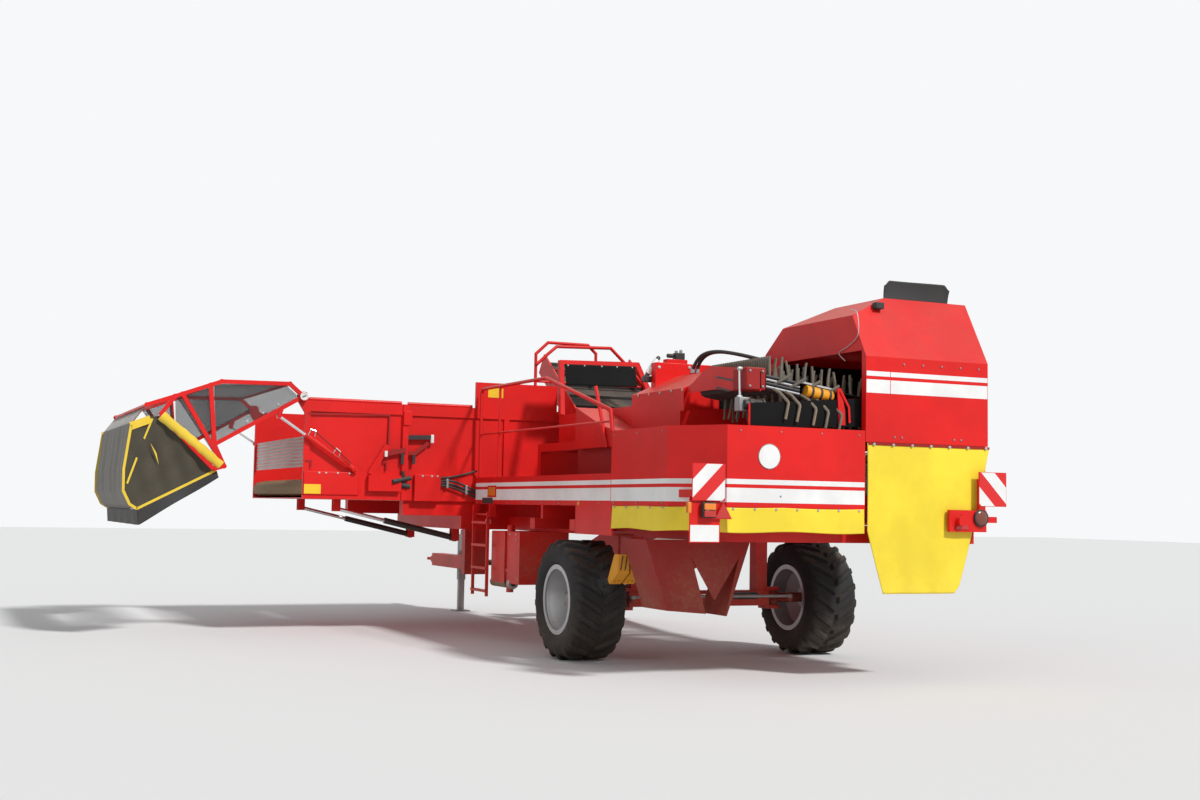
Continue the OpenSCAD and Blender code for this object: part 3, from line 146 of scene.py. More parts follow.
# %% Swept and turned parts
def circle(radius, count=12):
    """Section points of a circle, counter-clockwise."""
    turn_by = np.linspace(0, 2 * np.pi, count, endpoint=False)
    return radius * np.stack([np.cos(turn_by), np.sin(turn_by)], -1)


def slab(width, depth):
    """Section points of a flat bar, width to the side and depth upwards."""
    return np.array([[-1, -1], [1, -1], [1, 1], [-1, 1]]) * [width / 2, depth / 2]


def sweep(name, path, section, up=(0, 0, 1), closed=False, **options):
    """Section (m, 2) carried along a path (n, 3): point plus side times x plus upright times y, mitred at bends."""
    path, section = np.asarray(path, float), np.asarray(section, float)
    step = np.diff(np.vstack([path, path[:1]]) if closed else path, axis=0)
    step /= np.linalg.norm(step, axis=1, keepdims=True)
    before = np.vstack([step[-1:] if closed else step[:1], step if not closed else step[:-1]])
    after = np.vstack([step, step[-1:]]) if not closed else step
    ahead = before + after
    ahead /= np.linalg.norm(ahead, axis=1, keepdims=True)
    stretch = 1 / np.maximum((ahead * before).sum(1), 0.35)
    side = np.cross(ahead, up)
    side /= np.maximum(np.linalg.norm(side, axis=1, keepdims=True), 1e-9)
    above = np.cross(side, ahead)
    grid = (path[:, None] + side[:, None] * section[None, :, :1] * stretch[:, None, None]
            + above[:, None] * section[None, :, 1:])
    if not closed:
        ends = np.broadcast_to(path[[0, -1], None], (2, len(section), 3))
        grid = np.vstack([ends[:1], grid, ends[1:]])
    return tidy(surface(name, at(grid), wrap_u=closed, wrap_v=True), **options)


def turned(name, profile, centre, axis, count=32, **options):
    """Profile of (radius, height) pairs carried round an axis through the centre."""
    profile, axis = np.asarray(profile, float), np.asarray(axis, float) / np.linalg.norm(axis)
    first = np.cross(axis, [0, 0, 1] if abs(axis[2]) < 0.9 else [1, 0, 0])
    first /= np.linalg.norm(first)
    second = np.cross(axis, first)
    round_by = np.linspace(0, 2 * np.pi, count, endpoint=False)[:, None, None]
    ring = first * np.cos(round_by) + second * np.sin(round_by)
    grid = np.asarray(centre) + ring * profile[None, :, :1] + axis * profile[None, :, 1:]
    return tidy(surface(name, at(grid), wrap_u=True), **options)


def pillow_box(name, low, high, roundness=0.25, count=24, **options):
    """Rounded block: sines and cosines raised to a small power, so the sphere swells towards its box."""
    low, high = np.asarray(low, float), np.asarray(high, float)
    lift = np.linspace(-np.pi / 2, np.pi / 2, count)[:, None]
    round_by = np.linspace(-np.pi, np.pi, 2 * count, endpoint=False)[None, :]
    power = lambda wave: np.sign(wave) * np.abs(wave) ** roundness
    grid = np.stack([power(np.cos(lift)) * power(np.cos(round_by)), power(np.cos(lift)) * power(np.sin(round_by)),
                     power(np.sin(lift)) * np.ones_like(round_by)], -1)
    return tidy(surface(name, at((low + high) / 2 + grid * (high - low) / 2), wrap_v=True), **options)


def plate(name, outline, depth, **options):
    """Flat plate: an outline (n, 3) and the same outline moved by the depth vector, joined by a rim."""
    outline = at(outline)
    rings = np.stack([outline, outline + np.asarray(depth, float)])
    middle = np.broadcast_to(rings.mean(1, keepdims=True), rings.shape)
    grid = np.stack([middle[0], rings[0], rings[1], middle[1]])
    return tidy(surface(name, grid, wrap_v=True), **options)


def repeated(name, shape, places, turns=None, **options):
    """Copies of one grid (rows, cols, 3), each turned by a matrix and put at its place, as one mesh."""
    rows, cols = shape.shape[:2]
    flat, places = shape.reshape(-1, 3), np.asarray(places, float)
    turns = np.broadcast_to(np.eye(3), (len(places), 3, 3)) if turns is None else turns
    points = np.einsum("kij,nj->kni", turns, flat) + places[:, None]
    quads = quads_of(rows, cols, wrap_v=True)
    faces = quads[None] + (np.arange(len(places)) * rows * cols)[:, None, None]
    return tidy(mesh_of(name, at(points.reshape(-1, 3)), faces.reshape(-1, 4)), **options)


def joined(name, parts):
    """Several meshes as one piece: points stacked, and face corners counted on."""
    grid = bmesh.new()
    for part in parts:
        grid.from_mesh(part.data)
        bpy.data.objects.remove(part)
    mesh = bpy.data.meshes.new(name)
    grid.to_mesh(mesh)
    grid.free()
    piece = bpy.data.objects.new(name, mesh)
    bpy.context.collection.objects.link(piece)
    mesh.polygons.foreach_set("use_smooth", [True] * len(mesh.polygons))
    mesh.set_sharp_from_angle(angle=math.radians(35))
    return piece


def through(points, count=12):
    """Catmull-Rom curve through the points: each span is a cubic of its two ends and their neighbours."""
    p = np.asarray(points, float)
    p = np.vstack([2 * p[0] - p[1], p, 2 * p[-1] - p[-2]])
    t = np.linspace(0, 1, count, endpoint=False)[None, :, None]
    a, b, c, d = (p[k:len(p) - 3 + k, None] for k in range(4))
    curve = 0.5 * (2 * b + (c - a) * t + (2 * a - 5 * b + 4 * c - d) * t ** 2 + (3 * b - a - 3 * c + d) * t ** 3)
    return np.vstack([curve.reshape(-1, 3), p[-2:-1]])


print("swept, turned, rounded and flat parts ready")

# %% [markdown]
# ## Shader groups
# Field dust, scuffs, fine grain and woven cloth show on many finishes, so each is one node group
# with named sockets. Dust gathers on faces that look up and on everything near the soil. A scuff is
# stretched noise cut off at a threshold, which leaves only its crests.


# %% Group helper
def new_group(name, inputs, outputs):
    """Shader group with float and vector sockets. Inputs are (name, type, value), outputs (name, type)."""
    tree = bpy.data.node_groups.new(name, "ShaderNodeTree")
    for label, kind, value in inputs:
        socket = tree.interface.new_socket(name=label, in_out="INPUT", socket_type="NodeSocket" + kind)
        if value is not None:
            socket.default_value = value
    for label, kind in outputs:
        tree.interface.new_socket(name=label, in_out="OUTPUT", socket_type="NodeSocket" + kind)
    return tree, tree.nodes.new("NodeGroupInput"), tree.nodes.new("NodeGroupOutput")


def node(tree, kind, links=None, **settings):
    """Adds one node, sets its options, and plugs or sets its inputs by name or number."""
    made = tree.nodes.new("ShaderNode" + kind)
    for key, value in settings.items():
        setattr(made, key, value)
    for key, value in (links or {}).items():
        if isinstance(value, bpy.types.NodeSocket):
            tree.links.new(value, made.inputs[key])
        else:
            made.inputs[key].default_value = value
    return made


def maths(tree, operation, *values, clamp=False):
    """One arithmetic step on sockets or numbers."""
    made = node(tree, "Math", dict(enumerate(values)), operation=operation, use_clamp=clamp)
    return made.outputs[0]


def ramp(tree, value, low, high, start=0.0, end=1.0):
    """Smooth step from start to end while the value goes from low to high."""
    made = node(tree, "MapRange", {0: value, 1: low, 2: high, 3: start, 4: end}, interpolation_type="SMOOTHSTEP")
    return made.outputs[0]


print("group helpers ready")

# %% Dust, scuffs, grain and weave
dust_tree, dust_in, dust_out = new_group(
    "Field dust", [("Place", "Vector", None), ("Amount", "Float", 0.5), ("Soil line", "Float", 0.9)],
    [("Mask", "Float")])
patches = node(dust_tree, "TexNoise", {"Vector": dust_in.outputs["Place"], "Scale": 2.3, "Detail": 7.0, "Roughness": 0.62})
specks = node(dust_tree, "TexNoise", {"Vector": dust_in.outputs["Place"], "Scale": 34.0, "Detail": 3.0})
facing = node(dust_tree, "SeparateXYZ", {0: node(dust_tree, "NewGeometry").outputs["Normal"]}).outputs[2]
height = node(dust_tree, "SeparateXYZ", {0: dust_in.outputs["Place"]}).outputs[2]
lying = ramp(dust_tree, facing, 0.35, 0.95, 0.0, 0.75)
low_down = ramp(dust_tree, maths(dust_tree, "SUBTRACT", height, dust_in.outputs["Soil line"]), 0.45, -0.55, 0.0, 0.9)
gather = maths(dust_tree, "ADD", maths(dust_tree, "MAXIMUM", lying, low_down), 0.035)
blotch = ramp(dust_tree, patches.outputs[0], 0.32, 0.72, 0.25, 1.0)
speck = ramp(dust_tree, specks.outputs[0], 0.45, 0.7, 0.7, 1.15)
dusty = maths(dust_tree, "MULTIPLY", maths(dust_tree, "MULTIPLY", gather, blotch), speck)
dusty = maths(dust_tree, "MULTIPLY", dusty, dust_in.outputs["Amount"], clamp=True)
dust_tree.links.new(dusty, dust_out.inputs["Mask"])

scuff_tree, scuff_in, scuff_out = new_group(
    "Scuffs", [("Place", "Vector", None), ("Amount", "Float", 0.5), ("Scale", "Float", 6.0)], [("Mask", "Float")])
stretched = node(scuff_tree, "Mapping", {"Vector": scuff_in.outputs["Place"], "Scale": (1.0, 0.35, 3.0)})
strokes = node(scuff_tree, "TexNoise", {"Vector": stretched.outputs[0], "Scale": scuff_in.outputs["Scale"],
                                       "Detail": 9.0, "Roughness": 0.75, "Distortion": 0.6})
chips = node(scuff_tree, "TexVoronoi", {"Vector": scuff_in.outputs["Place"], "Scale": 55.0})
worn = maths(scuff_tree, "ADD", ramp(scuff_tree, strokes.outputs[0], 0.66, 0.74),
             ramp(scuff_tree, chips.outputs[0], 0.09, 0.05, 0.0, 0.5))
worn = maths(scuff_tree, "MULTIPLY", worn, scuff_in.outputs["Amount"], clamp=True)
scuff_tree.links.new(worn, scuff_out.inputs["Mask"])

grain_tree, grain_in, grain_out = new_group(
    "Fine grain", [("Place", "Vector", None), ("Scale", "Float", 90.0), ("Waviness", "Float", 0.4)],
    [("Height", "Float")])
fine = node(grain_tree, "TexNoise", {"Vector": grain_in.outputs["Place"], "Scale": grain_in.outputs["Scale"], "Detail": 4.0})
broad = node(grain_tree, "TexNoise", {"Vector": grain_in.outputs["Place"], "Scale": 3.1, "Detail": 2.0})
rough_sum = maths(grain_tree, "ADD", fine.outputs[0],
                  maths(grain_tree, "MULTIPLY", broad.outputs[0], grain_in.outputs["Waviness"]))
grain_tree.links.new(rough_sum, grain_out.inputs["Height"])

weave_tree, weave_in, weave_out = new_group(
    "Plain weave", [("Place", "Vector", None), ("Threads per metre", "Float", 400.0), ("Openness", "Float", 0.0)],
    [("Height", "Float"), ("Cover", "Float")])
scaled = node(weave_tree, "VectorMath", {0: weave_in.outputs["Place"], "Scale": weave_in.outputs["Threads per metre"]},
              operation="SCALE")
along, across, _ = node(weave_tree, "SeparateXYZ", {0: scaled.outputs[0]}).outputs
warp = maths(weave_tree, "ABSOLUTE", maths(weave_tree, "SINE", maths(weave_tree, "MULTIPLY", along, math.pi)))
weft = maths(weave_tree, "ABSOLUTE", maths(weave_tree, "SINE", maths(weave_tree, "MULTIPLY", across, math.pi)))
thread = maths(weave_tree, "MAXIMUM", warp, weft)
weave_tree.links.new(thread, weave_out.inputs["Height"])
cover = node(weave_tree, "MapRange", {0: thread, 1: weave_in.outputs["Openness"],
                                      2: maths(weave_tree, "ADD", weave_in.outputs["Openness"], 0.05)})
weave_tree.links.new(cover.outputs[0], weave_out.inputs["Cover"])
print("shader groups", [tree.name for tree in bpy.data.node_groups])

# %% [markdown]
# ## Finishes
# The maker's red is a solid gloss enamel. In the field it turns a little chalky on top and tan with
# dust near the wheels. One function builds every opaque finish from a colour, a roughness and the
# amounts of dust, scuffs and grain, so that steel, paint, plastic and rubber stay one family.

# %% Finish helper
SOIL = (0.34, 0.235, 0.145, 1)


def finish(name, colour, roughness=0.4, metallic=0.0, coat=0.0, dust=0.4, soil_line=0.9, scuffs=0.2, scuff_colour=None,
           shade=0.85, grain=90.0, bump=0.02, place="Object", gloss=0.5):
    """Opaque finish: base colour, mottled, then scuffed, then dusted; roughness follows the same masks."""
    stuff = bpy.data.materials.new(name)
    stuff.use_nodes = True
    tree = stuff.node_tree
    shader = tree.nodes["Principled BSDF"]
    where = node(tree, "TexCoord").outputs[place]
    base = (*colour, 1)
    dark = (*(np.array(colour) * shade), 1)
    cloud = node(tree, "TexNoise", {"Vector": where, "Scale": 1.7, "Detail": 5.0, "Roughness": 0.6})
    colour_now = node(tree, "Mix", {0: ramp(tree, cloud.outputs[0], 0.35, 0.65), 6: base, 7: dark}, data_type="RGBA").outputs[2]
    worn_mask = node(tree, "Group", {}, node_tree=scuff_tree)
    tree.links.new(where, worn_mask.inputs["Place"])
    worn_mask.inputs["Amount"].default_value = scuffs
    bare = scuff_colour or tuple(np.array(colour) * 0.55 + 0.03)
    colour_now = node(tree, "Mix", {0: worn_mask.outputs[0], 6: colour_now, 7: (*bare, 1)}, data_type="RGBA").outputs[2]
    dust_mask = node(tree, "Group", {}, node_tree=dust_tree)
    tree.links.new(where if place == "Object" else node(tree, "TexCoord").outputs["Object"], dust_mask.inputs["Place"])
    dust_mask.inputs["Amount"].default_value = dust
    dust_mask.inputs["Soil line"].default_value = soil_line
    colour_now = node(tree, "Mix", {0: dust_mask.outputs[0], 6: colour_now, 7: SOIL}, data_type="RGBA").outputs[2]
    tree.links.new(colour_now, shader.inputs["Base Color"])
    rough = maths(tree, "ADD", roughness, maths(tree, "MULTIPLY", cloud.outputs[0], 0.12))
    rough = node(tree, "Mix", {0: dust_mask.outputs[0], 2: rough, 3: 0.9}).outputs[0]
    tree.links.new(rough, shader.inputs["Roughness"])
    if metallic:
        metal = node(tree, "Mix", {0: dust_mask.outputs[0], 2: metallic, 3: 0.0}).outputs[0]
        tree.links.new(metal, shader.inputs["Metallic"])
    shader.inputs["Specular IOR Level"].default_value = gloss
    if coat:
        shader.inputs["Coat Weight"].default_value = coat
        shader.inputs["Coat Roughness"].default_value = 0.12
    fine_now = node(tree, "Group", {}, node_tree=grain_tree)
    tree.links.new(where, fine_now.inputs["Place"])
    fine_now.inputs["Scale"].default_value = grain
    lumps = node(tree, "Bump", {"Height": fine_now.outputs[0], "Strength": bump, "Distance": 0.01})
    tree.links.new(lumps.outputs[0], shader.inputs["Normal"])
    return stuff


RED = (0.68, 0.007, 0.006)
# The same red enamel made darker for parts under and behind the machine: painted shade.
PAINTED_SHADE_RED = (0.30, 0.008, 0.008)
finishes = {
    "red_paint": finish("Red enamel", RED, 0.36, coat=0.04, dust=0.55, scuffs=0.15, gloss=0.28),
    "dark_red_paint": finish("Red enamel darkened as painted shade", PAINTED_SHADE_RED, 0.5, dust=0.55, scuffs=0.3, gloss=0.3),
    "black_paint": finish("Black enamel", (0.018, 0.018, 0.02), 0.38, dust=0.6, scuffs=0.3),
    "grey_steel": finish("Worn steel", (0.32, 0.32, 0.33), 0.42, metallic=0.8, dust=0.6, scuffs=0.6),
    "web_steel": finish("Soil polished steel", (0.30, 0.28, 0.26), 0.4, metallic=0.75, dust=0.9, soil_line=2.2),
    "chromed_rod": finish("Hard chrome", (0.72, 0.72, 0.73), 0.12, metallic=1.0, dust=0.15, scuffs=0.1),
    "rim_silver": finish("Silver wheel enamel", (0.50, 0.50, 0.51), 0.32, metallic=0.6, dust=0.5, soil_line=0.3),
    "tyre_rubber": finish("Tyre rubber", (0.017, 0.017, 0.018), 0.7, dust=0.42, soil_line=0.25, grain=60, bump=0.08, gloss=0.35),
    "black_rubber": finish("Black rubber", (0.022, 0.022, 0.022), 0.6, dust=0.5, grain=150, bump=0.05),
    "yellow_rubber": finish("Yellow rubber sheet", (0.86, 0.66, 0.035), 0.45, dust=0.22, scuffs=0.08, grain=25, bump=0.06, gloss=0.35),
    "yellow_plastic": finish("Yellow moulded plastic", (0.80, 0.33, 0.010), 0.45, dust=0.35, gloss=0.35),
}
print("finishes", sorted(finishes))

# %% [markdown]
# Sail cloth and netting are woven. Their threads follow the cloth, so these finishes read the
# piece's own UV map, which is kept in metres. The net lets light through between its threads.


# %% Woven finishes
def cloth(name, colour, threads, openness=0.0, sheen=0.3, roughness=0.8, dust=0.4):
    """Woven finish on the cloth's own coordinates, with holes where the weave is open."""
    stuff = finish(name, colour, roughness, dust=dust, scuffs=0.0, bump=0.02)
    tree = stuff.node_tree
    shader = tree.nodes["Principled BSDF"]
    woven = node(tree, "Group", {}, node_tree=weave_tree)
    tree.links.new(node(tree, "TexCoord").outputs["UV"], woven.inputs["Place"])
    woven.inputs["Threads per metre"].default_value = threads
    woven.inputs["Openness"].default_value = openness
    old = shader.inputs["Normal"].links[0].from_socket
    tree.links.new(node(tree, "Bump", {"Height": woven.outputs["Height"], "Strength": 0.35, "Distance": 0.001,
                                       "Normal": old}).outputs[0], shader.inputs["Normal"])
    shader.inputs["Sheen Weight"].default_value = sheen
    if openness:
        tree.links.new(woven.outputs["Cover"], shader.inputs["Alpha"])
    return stuff


finishes["sail_cloth"] = cloth("Dark sail cloth", (0.050, 0.042, 0.026), 300, dust=0.9)
finishes["yellow_fabric"] = cloth("Yellow webbing", (0.80, 0.56, 0.04), 500, dust=0.3)
finishes["black_net"] = cloth("Knitted netting", (0.022, 0.022, 0.024), 180, openness=0.72, sheen=0.0)
for slot_name, nodes_in in {"white_film": 0}.items():
    finishes[slot_name] = finish("White film", (0.80, 0.80, 0.79), 0.3, dust=0.35, scuffs=0.1)
print("woven finishes ready")

# %% [markdown]
# ## Painting the solids
# Each solid keeps its own mesh and takes the finish that the record's material slot names. Nothing
# is moved, so holes, pins and panels stay where the construction put them.

# %% Painting the solids
finish_of = {part["node"]: part["material_slot"] for part in frame["record"]["subparts"]}
for name, solid in frame["nodes"].items():
    solid.data.materials.clear()
    solid.data.materials.append(finishes[finish_of[name]])
frame["nodes"]["boom_barrels"].data.materials[0] = finishes["red_paint"]
print("painted", len(finish_of), "solids")


def place(piece, body, stuff, slot_name=None):
    """Gives a new piece its finish and the body that it rides on. The slot name is not used."""
    piece.data.materials.clear()
    piece.data.materials.append(finishes[stuff])
    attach(piece, body)
    return piece


# %% [markdown]
# ## Two feed hoses
# Two rubber hoses feed the motors inside the housing. Each leaves a gland on the cleaner's lid
# straight up, bends over in one long curve and enters the housing's wall. Both ends are fixed, so
# the length is the length of that curve. A short swaged ferrule sits on each end.

# %% Feed hoses
HOSE_R = 0.016
lower_route = [[-260, -260, 2592], [-260, -264, 2620], [-258, -276, 2652], [-252, -300, 2690], [-244, -336, 2722],
               [-232, -382, 2748], [-214, -436, 2764], [-190, -494, 2770], [-158, -554, 2768], [-118, -612, 2758],
               [-72, -666, 2744], [-20, -714, 2728], [36, -754, 2710], [86, -782, 2694], [122, -794, 2684], [153, -798, 2680]]
upper_route = [[-308, -260, 2592], [-308, -266, 2620], [-305, -284, 2652], [-298, -312, 2690], [-290, -348, 2722],
               [-278, -394, 2748], [-259, -451, 2764], [-234, -512, 2770], [-200, -577, 2768], [-158, -639, 2758],
               [-108, -697, 2744], [-53, -749, 2728], [8, -793, 2710], [64, -826, 2694], [110, -840, 2684], [153, -846, 2680]]
ferrule_profile = [[0.0155, 0], [0.0215, 0], [0.0215, 0.010], [0.0195, 0.013], [0.0195, 0.038], [0.0170, 0.042],
                   [0.0155, 0.042], [0.0155, 0]]
for label, route in (("lower", lower_route), ("upper", upper_route)):
    line = through(np.array(route) / 1000, 4)
    tube = sweep(f"feed_hose_{label}", line, circle(HOSE_R, 16), up=(0.82, 0.57, 0))
    place(tube, "chassis", "black_rubber")
    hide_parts(f"hose_{label}")
    ferrules = [place(turned(f"{label}_hose_{end}_ferrule", ferrule_profile, spot, way, count=20), "chassis", "grey_steel")
                for end, spot, way in (("lid", line[0], line[1] - line[0]), ("wall", line[-1], line[-2] - line[-1]))]

# %% [markdown]
# ## Tyres
# A traction tyre is a turned carcass with slanting lugs, the left row half a pitch from the right
# one. The surface has one number round the wheel and one across it. Its radius is the carcass plus
# the lug height wherever the slanted lug pattern says so, with short smooth flanks.

# %% Tyres
TYRE_R, TYRE_HALF, RIM_R, LUGS, LUG_H = 0.530, 0.250, 0.310, 20, 0.030


def smooth(low, high, value):
    """Smooth step of an array: 0 below low, 1 above high."""
    share = np.clip((value - low) / (high - low), 0, 1)
    return share * share * (3 - 2 * share)


def tyre(name, centre_x, body, node_name):
    """Carcass radius over the width plus lug height times the pattern of slanted bars."""
    profile = np.array([[0.286, -0.205], [0.305, -0.212], [0.318, -0.224], [0.345, -0.240], [0.385, -0.2488],
                        [0.425, -0.2485], [0.455, -0.241], [0.480, -0.228], [0.4945, -0.205], [0.4990, -0.165],
                        [0.5000, -0.100], [0.5000, -0.035], [0.5000, 0.0]])
    profile = np.vstack([profile, profile[-2::-1] * [1, -1]])
    reach = np.concatenate([[0], np.cumsum(np.linalg.norm(np.diff(profile, axis=0), axis=1))])
    fine = np.linspace(0, reach[-1], 88)
    radius, across = (np.interp(fine, reach, profile[:, k]) for k in (0, 1))
    around = np.linspace(0, 2 * np.pi, 720, endpoint=False)[:, None]
    side = np.sign(across)[None]
    slant = np.abs(across)[None] * 0.62
    phase = (around / (2 * np.pi) * LUGS + 0.25 * side - slant / (2 * np.pi * 0.5) * LUGS) % 1
    bar = smooth(0.0, 0.055, phase) * smooth(0.40, 0.345, phase)
    reach_in = smooth(0.008, 0.020, np.abs(across))[None] * smooth(0.428, 0.448, radius)[None]
    lug = LUG_H * bar * reach_in * (1 - 0.72 * smooth(0.205, 0.248, np.abs(across)))[None]
    rib = 0.0025 * (smooth(0.395, 0.400, radius) * smooth(0.412, 0.407, radius))[None]
    far = np.minimum(radius[None] + lug, TYRE_R - 0.0005)
    wide = np.clip(across[None] + side * (rib + 0.10 * lug * smooth(0.2, 0.25, np.abs(across))[None]), -TYRE_HALF, TYRE_HALF)
    grid = np.stack([centre_x + wide + 0 * around, far * np.sin(around), 0.530 + far * np.cos(around)], -1)
    piece = tidy(surface(name, at(grid), wrap_u=True, wrap_v=True), angle=40)
    place(piece, body, "tyre_rubber")
    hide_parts(node_name)
    return piece


tyre("left_tyre_with_lugs", -1.280, "wheel_l", "tyre_left")
tyre("right_tyre_with_lugs", 1.100, "wheel_r", "tyre_right")
print("tyre radius", TYRE_R, "m with", LUGS, "lugs a side")

# %% [markdown]
# Wheel nuts are the same small turned shape ten times over: a hexagon with a domed end.

# %% Wheel nuts, stepped rims and hub bosses


def nut_grid(radius, tall, sides=6):
    """Turned grid (profile, sides, 3) of a nut with a chamfer and a domed stud."""
    profile = np.array([[0, 0], [1, 0], [1, 0.75], [0.86, 0.92], [0.5, 0.95], [0.46, 1.25], [0, 1.35]]) * [radius, tall]
    turn_by = np.linspace(0, 2 * np.pi, sides, endpoint=False)[None, :, None]
    ring = np.concatenate([np.cos(turn_by), np.sin(turn_by)], -1)
    up = np.broadcast_to(profile[:, None, 1:], (len(profile), sides, 1))
    return np.concatenate([ring * profile[:, None, :1], up], -1)


TO_LEFT = np.array([[0, 0, -1], [0, 1, 0], [1, 0, 0]], float)
TO_REAR = np.array([[1, 0, 0], [0, 0, -1], [0, 1, 0]], float)
for label, wheel_x, side, body in (("left", -1.280, -1, "wheel_l"), ("right", 1.100, 1, "wheel_r")):
    clock = np.linspace(0, 2 * np.pi, 10, endpoint=False)
    spots = np.stack([np.full(10, wheel_x + side * 0.059), 0.1375 * np.sin(clock), 0.53 + 0.1375 * np.cos(clock)], -1)
    facing = TO_LEFT if side < 0 else TO_LEFT * [[-1], [1], [1]]
    nuts = repeated(f"{label}_wheel_nuts", nut_grid(0.016, 0.022), spots, np.broadcast_to(facing, (10, 3, 3)))
    place(nuts, body, "grey_steel")
    well = [[0.267, 0.208], [0.262, 0.196], [0.259, 0.168], [0.251, 0.158], [0.249, 0.128], [0.241, 0.116], [0.239, 0.080],
            [0.230, 0.066], [0.227, 0.026], [0.214, 0.000], [0.266, -0.052], [0.267, 0.208]]
    dish = turned(f"{label}_rim_steps", well, [wheel_x, 0, 0.53], [side, 0, 0], count=72)
    place(dish, body, "rim_silver")
    boss = turned(f"{label}_hub_boss", [[0, 0.030], [0.052, 0.030], [0.060, 0.024], [0.064, 0.0], [0.088, -0.006],
                                        [0.0915, -0.020], [0.0915, -0.031], [0, -0.031]],
                  [wheel_x + side * 0.0905, 0, 0.53], [side, 0, 0], count=48)
    place(boss, body, "grey_steel")
    # Black discs in the rim's hand holes: painted shade inside the holes.
    holes = []
    for turn_by in np.linspace(0, 2 * np.pi, 8, endpoint=False) + 0.2:
        out_way = np.array([0, math.sin(turn_by), math.cos(turn_by)])
        spot = np.array([wheel_x + side * 0.0105, 0, 0.53]) + 0.196 * out_way
        holes.append(turned("hole", [[0, 0.002], [0.024, 0.002], [0.024, -0.004], [0, -0.004]], spot, [side * 0.748, *(0.664 * out_way[1:])],
                            count=20))
    place(joined(f"{label}_hand_hole_shade", holes), body, "black_paint")
print("nuts on both wheels")

# %% [markdown]
# ## Rubber curtains
# Two yellow sheets stop the crop and the soil at the back. A hanging sheet waves more the further
# it is from its hooks, and the waves lean a little. Each point sits on the sheet's outline across
# and down, and is pushed out by that wave. Solidify then gives the rubber its thickness.

# %% Tall curtain behind the channel
REAR, LEFT = -2.334, -1.377


def thicken(piece, thickness, offset=0.0):
    """Solidify wall that goes on the finished surface."""
    wall = piece.modifiers.new("wall", "SOLIDIFY")
    wall.thickness, wall.offset = thickness, offset
    return piece


down = np.linspace(0, 1, 70)[:, None]
over = np.linspace(0, 1, 90)[None, :]
level = 1.902 - 1.200 * down
left_edge = np.interp(level, [0.70, 1.20, 1.91], [0.338, 0.178, 0.178])
right_edge = np.interp(level, [0.70, 0.76, 1.17, 1.91], [1.040, 1.090, 1.206, 1.388])
spread = left_edge + (right_edge - left_edge) * over
wave = 0.009 * down ** 0.5 * (np.sin(9 * spread + 1.2 * down) + 0.5 * np.sin(23 * spread + 2 - 2.5 * down))
scallop = 0.010 * np.abs(np.sin(np.pi * over * 5)) * np.exp(-down * 40)
hang = np.stack([spread, REAR - 0.004 - wave - 0.004 * np.sin(5 * down) + 0 * over, level - scallop], -1)
curtain = tidy(surface("tall_curtain", at(hang), uv=np.stack([spread, level + 0 * over], -1)), outward=False)
thicken(curtain, 0.004)
place(curtain, "chassis", "yellow_rubber")
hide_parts("rear_curtain")
print("tall curtain hangs from z", round(float(level.max()), 3), "to", round(float(level.min()), 3))

# %% Low curtain round the left corner
corner_path = np.array([[0.150, REAR], [-1.095, REAR], [LEFT, -1.880], [LEFT, -0.870]])
leg = np.concatenate([[0], np.cumsum(np.linalg.norm(np.diff(corner_path, axis=0), axis=1))])
along_it = np.linspace(0, leg[-1], 200)[None, :]
px, py = (np.interp(along_it, leg, corner_path[:, k]) for k in (0, 1))
tx, ty = np.gradient(px[0])[None], np.gradient(py[0])[None]
size = np.hypot(tx, ty)
down = np.linspace(0, 1, 26)[:, None]
out = 0.003 + 0.007 * down * (np.sin(6 * along_it) + 0.6 * np.sin(15 * along_it + 1))
drop = 1.372 - (0.192 + 0.006 * np.sin(7 * along_it)) * down - 0.006 * np.abs(np.sin(4.2 * along_it)) * (1 - down)
low = np.stack([px + ty / size * out * -1 * -1, py - tx / size * out * -1, drop], -1)
low_sheet = tidy(surface("low_curtain_sheet", at(low), uv=np.stack([along_it + 0 * down, drop], -1)), outward=False)
thicken(low_sheet, 0.004)
place(low_sheet, "chassis", "yellow_rubber")
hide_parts("low_curtain")
print("low curtain is", round(float(leg[-1]), 2), "m long")

# %% Black flap on the housing
up = np.linspace(0, 1, 16)[:, None]
over = np.linspace(0, 1, 60)[None, :]
edge = 0.545 + 0.650 * over
top = 3.282 - 0.045 * (1 - smooth(0, 0.09, over) * smooth(1, 0.91, over))
rise = 3.125 + (top - 3.125) * up
flap = np.stack([edge + 0 * up, -2.028 - 0.012 * up * np.sin(7 * edge) - 0.02 * up ** 2, rise], -1)
flap = tidy(surface("top_flap", at(flap), uv=np.stack([edge + 0 * up, rise], -1)), outward=False)
thicken(flap, 0.006)
place(flap, "chassis", "black_rubber")
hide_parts("hood_flap")
print("flap top", round(float(top.max()), 3))

# %% [markdown]
# ## Film stripes
# The white stripes are plain film on the panels. Each is a very thin band whose section is carried
# along the panel's plan, so that it turns the corners with the sheet.

# %% Film stripes


def stripe(name, plan, low_z, high_z, body="chassis"):
    """Thin band along a plan (n, 2): the section is as tall as the stripe and 2 mm deep, centred on the plan."""
    path = np.column_stack([plan, np.full(len(plan), (low_z + high_z) / 2)])
    band = sweep(name, path, slab(0.002, high_z - low_z))
    return place(band, body, "white_film", "yellow_plastic")


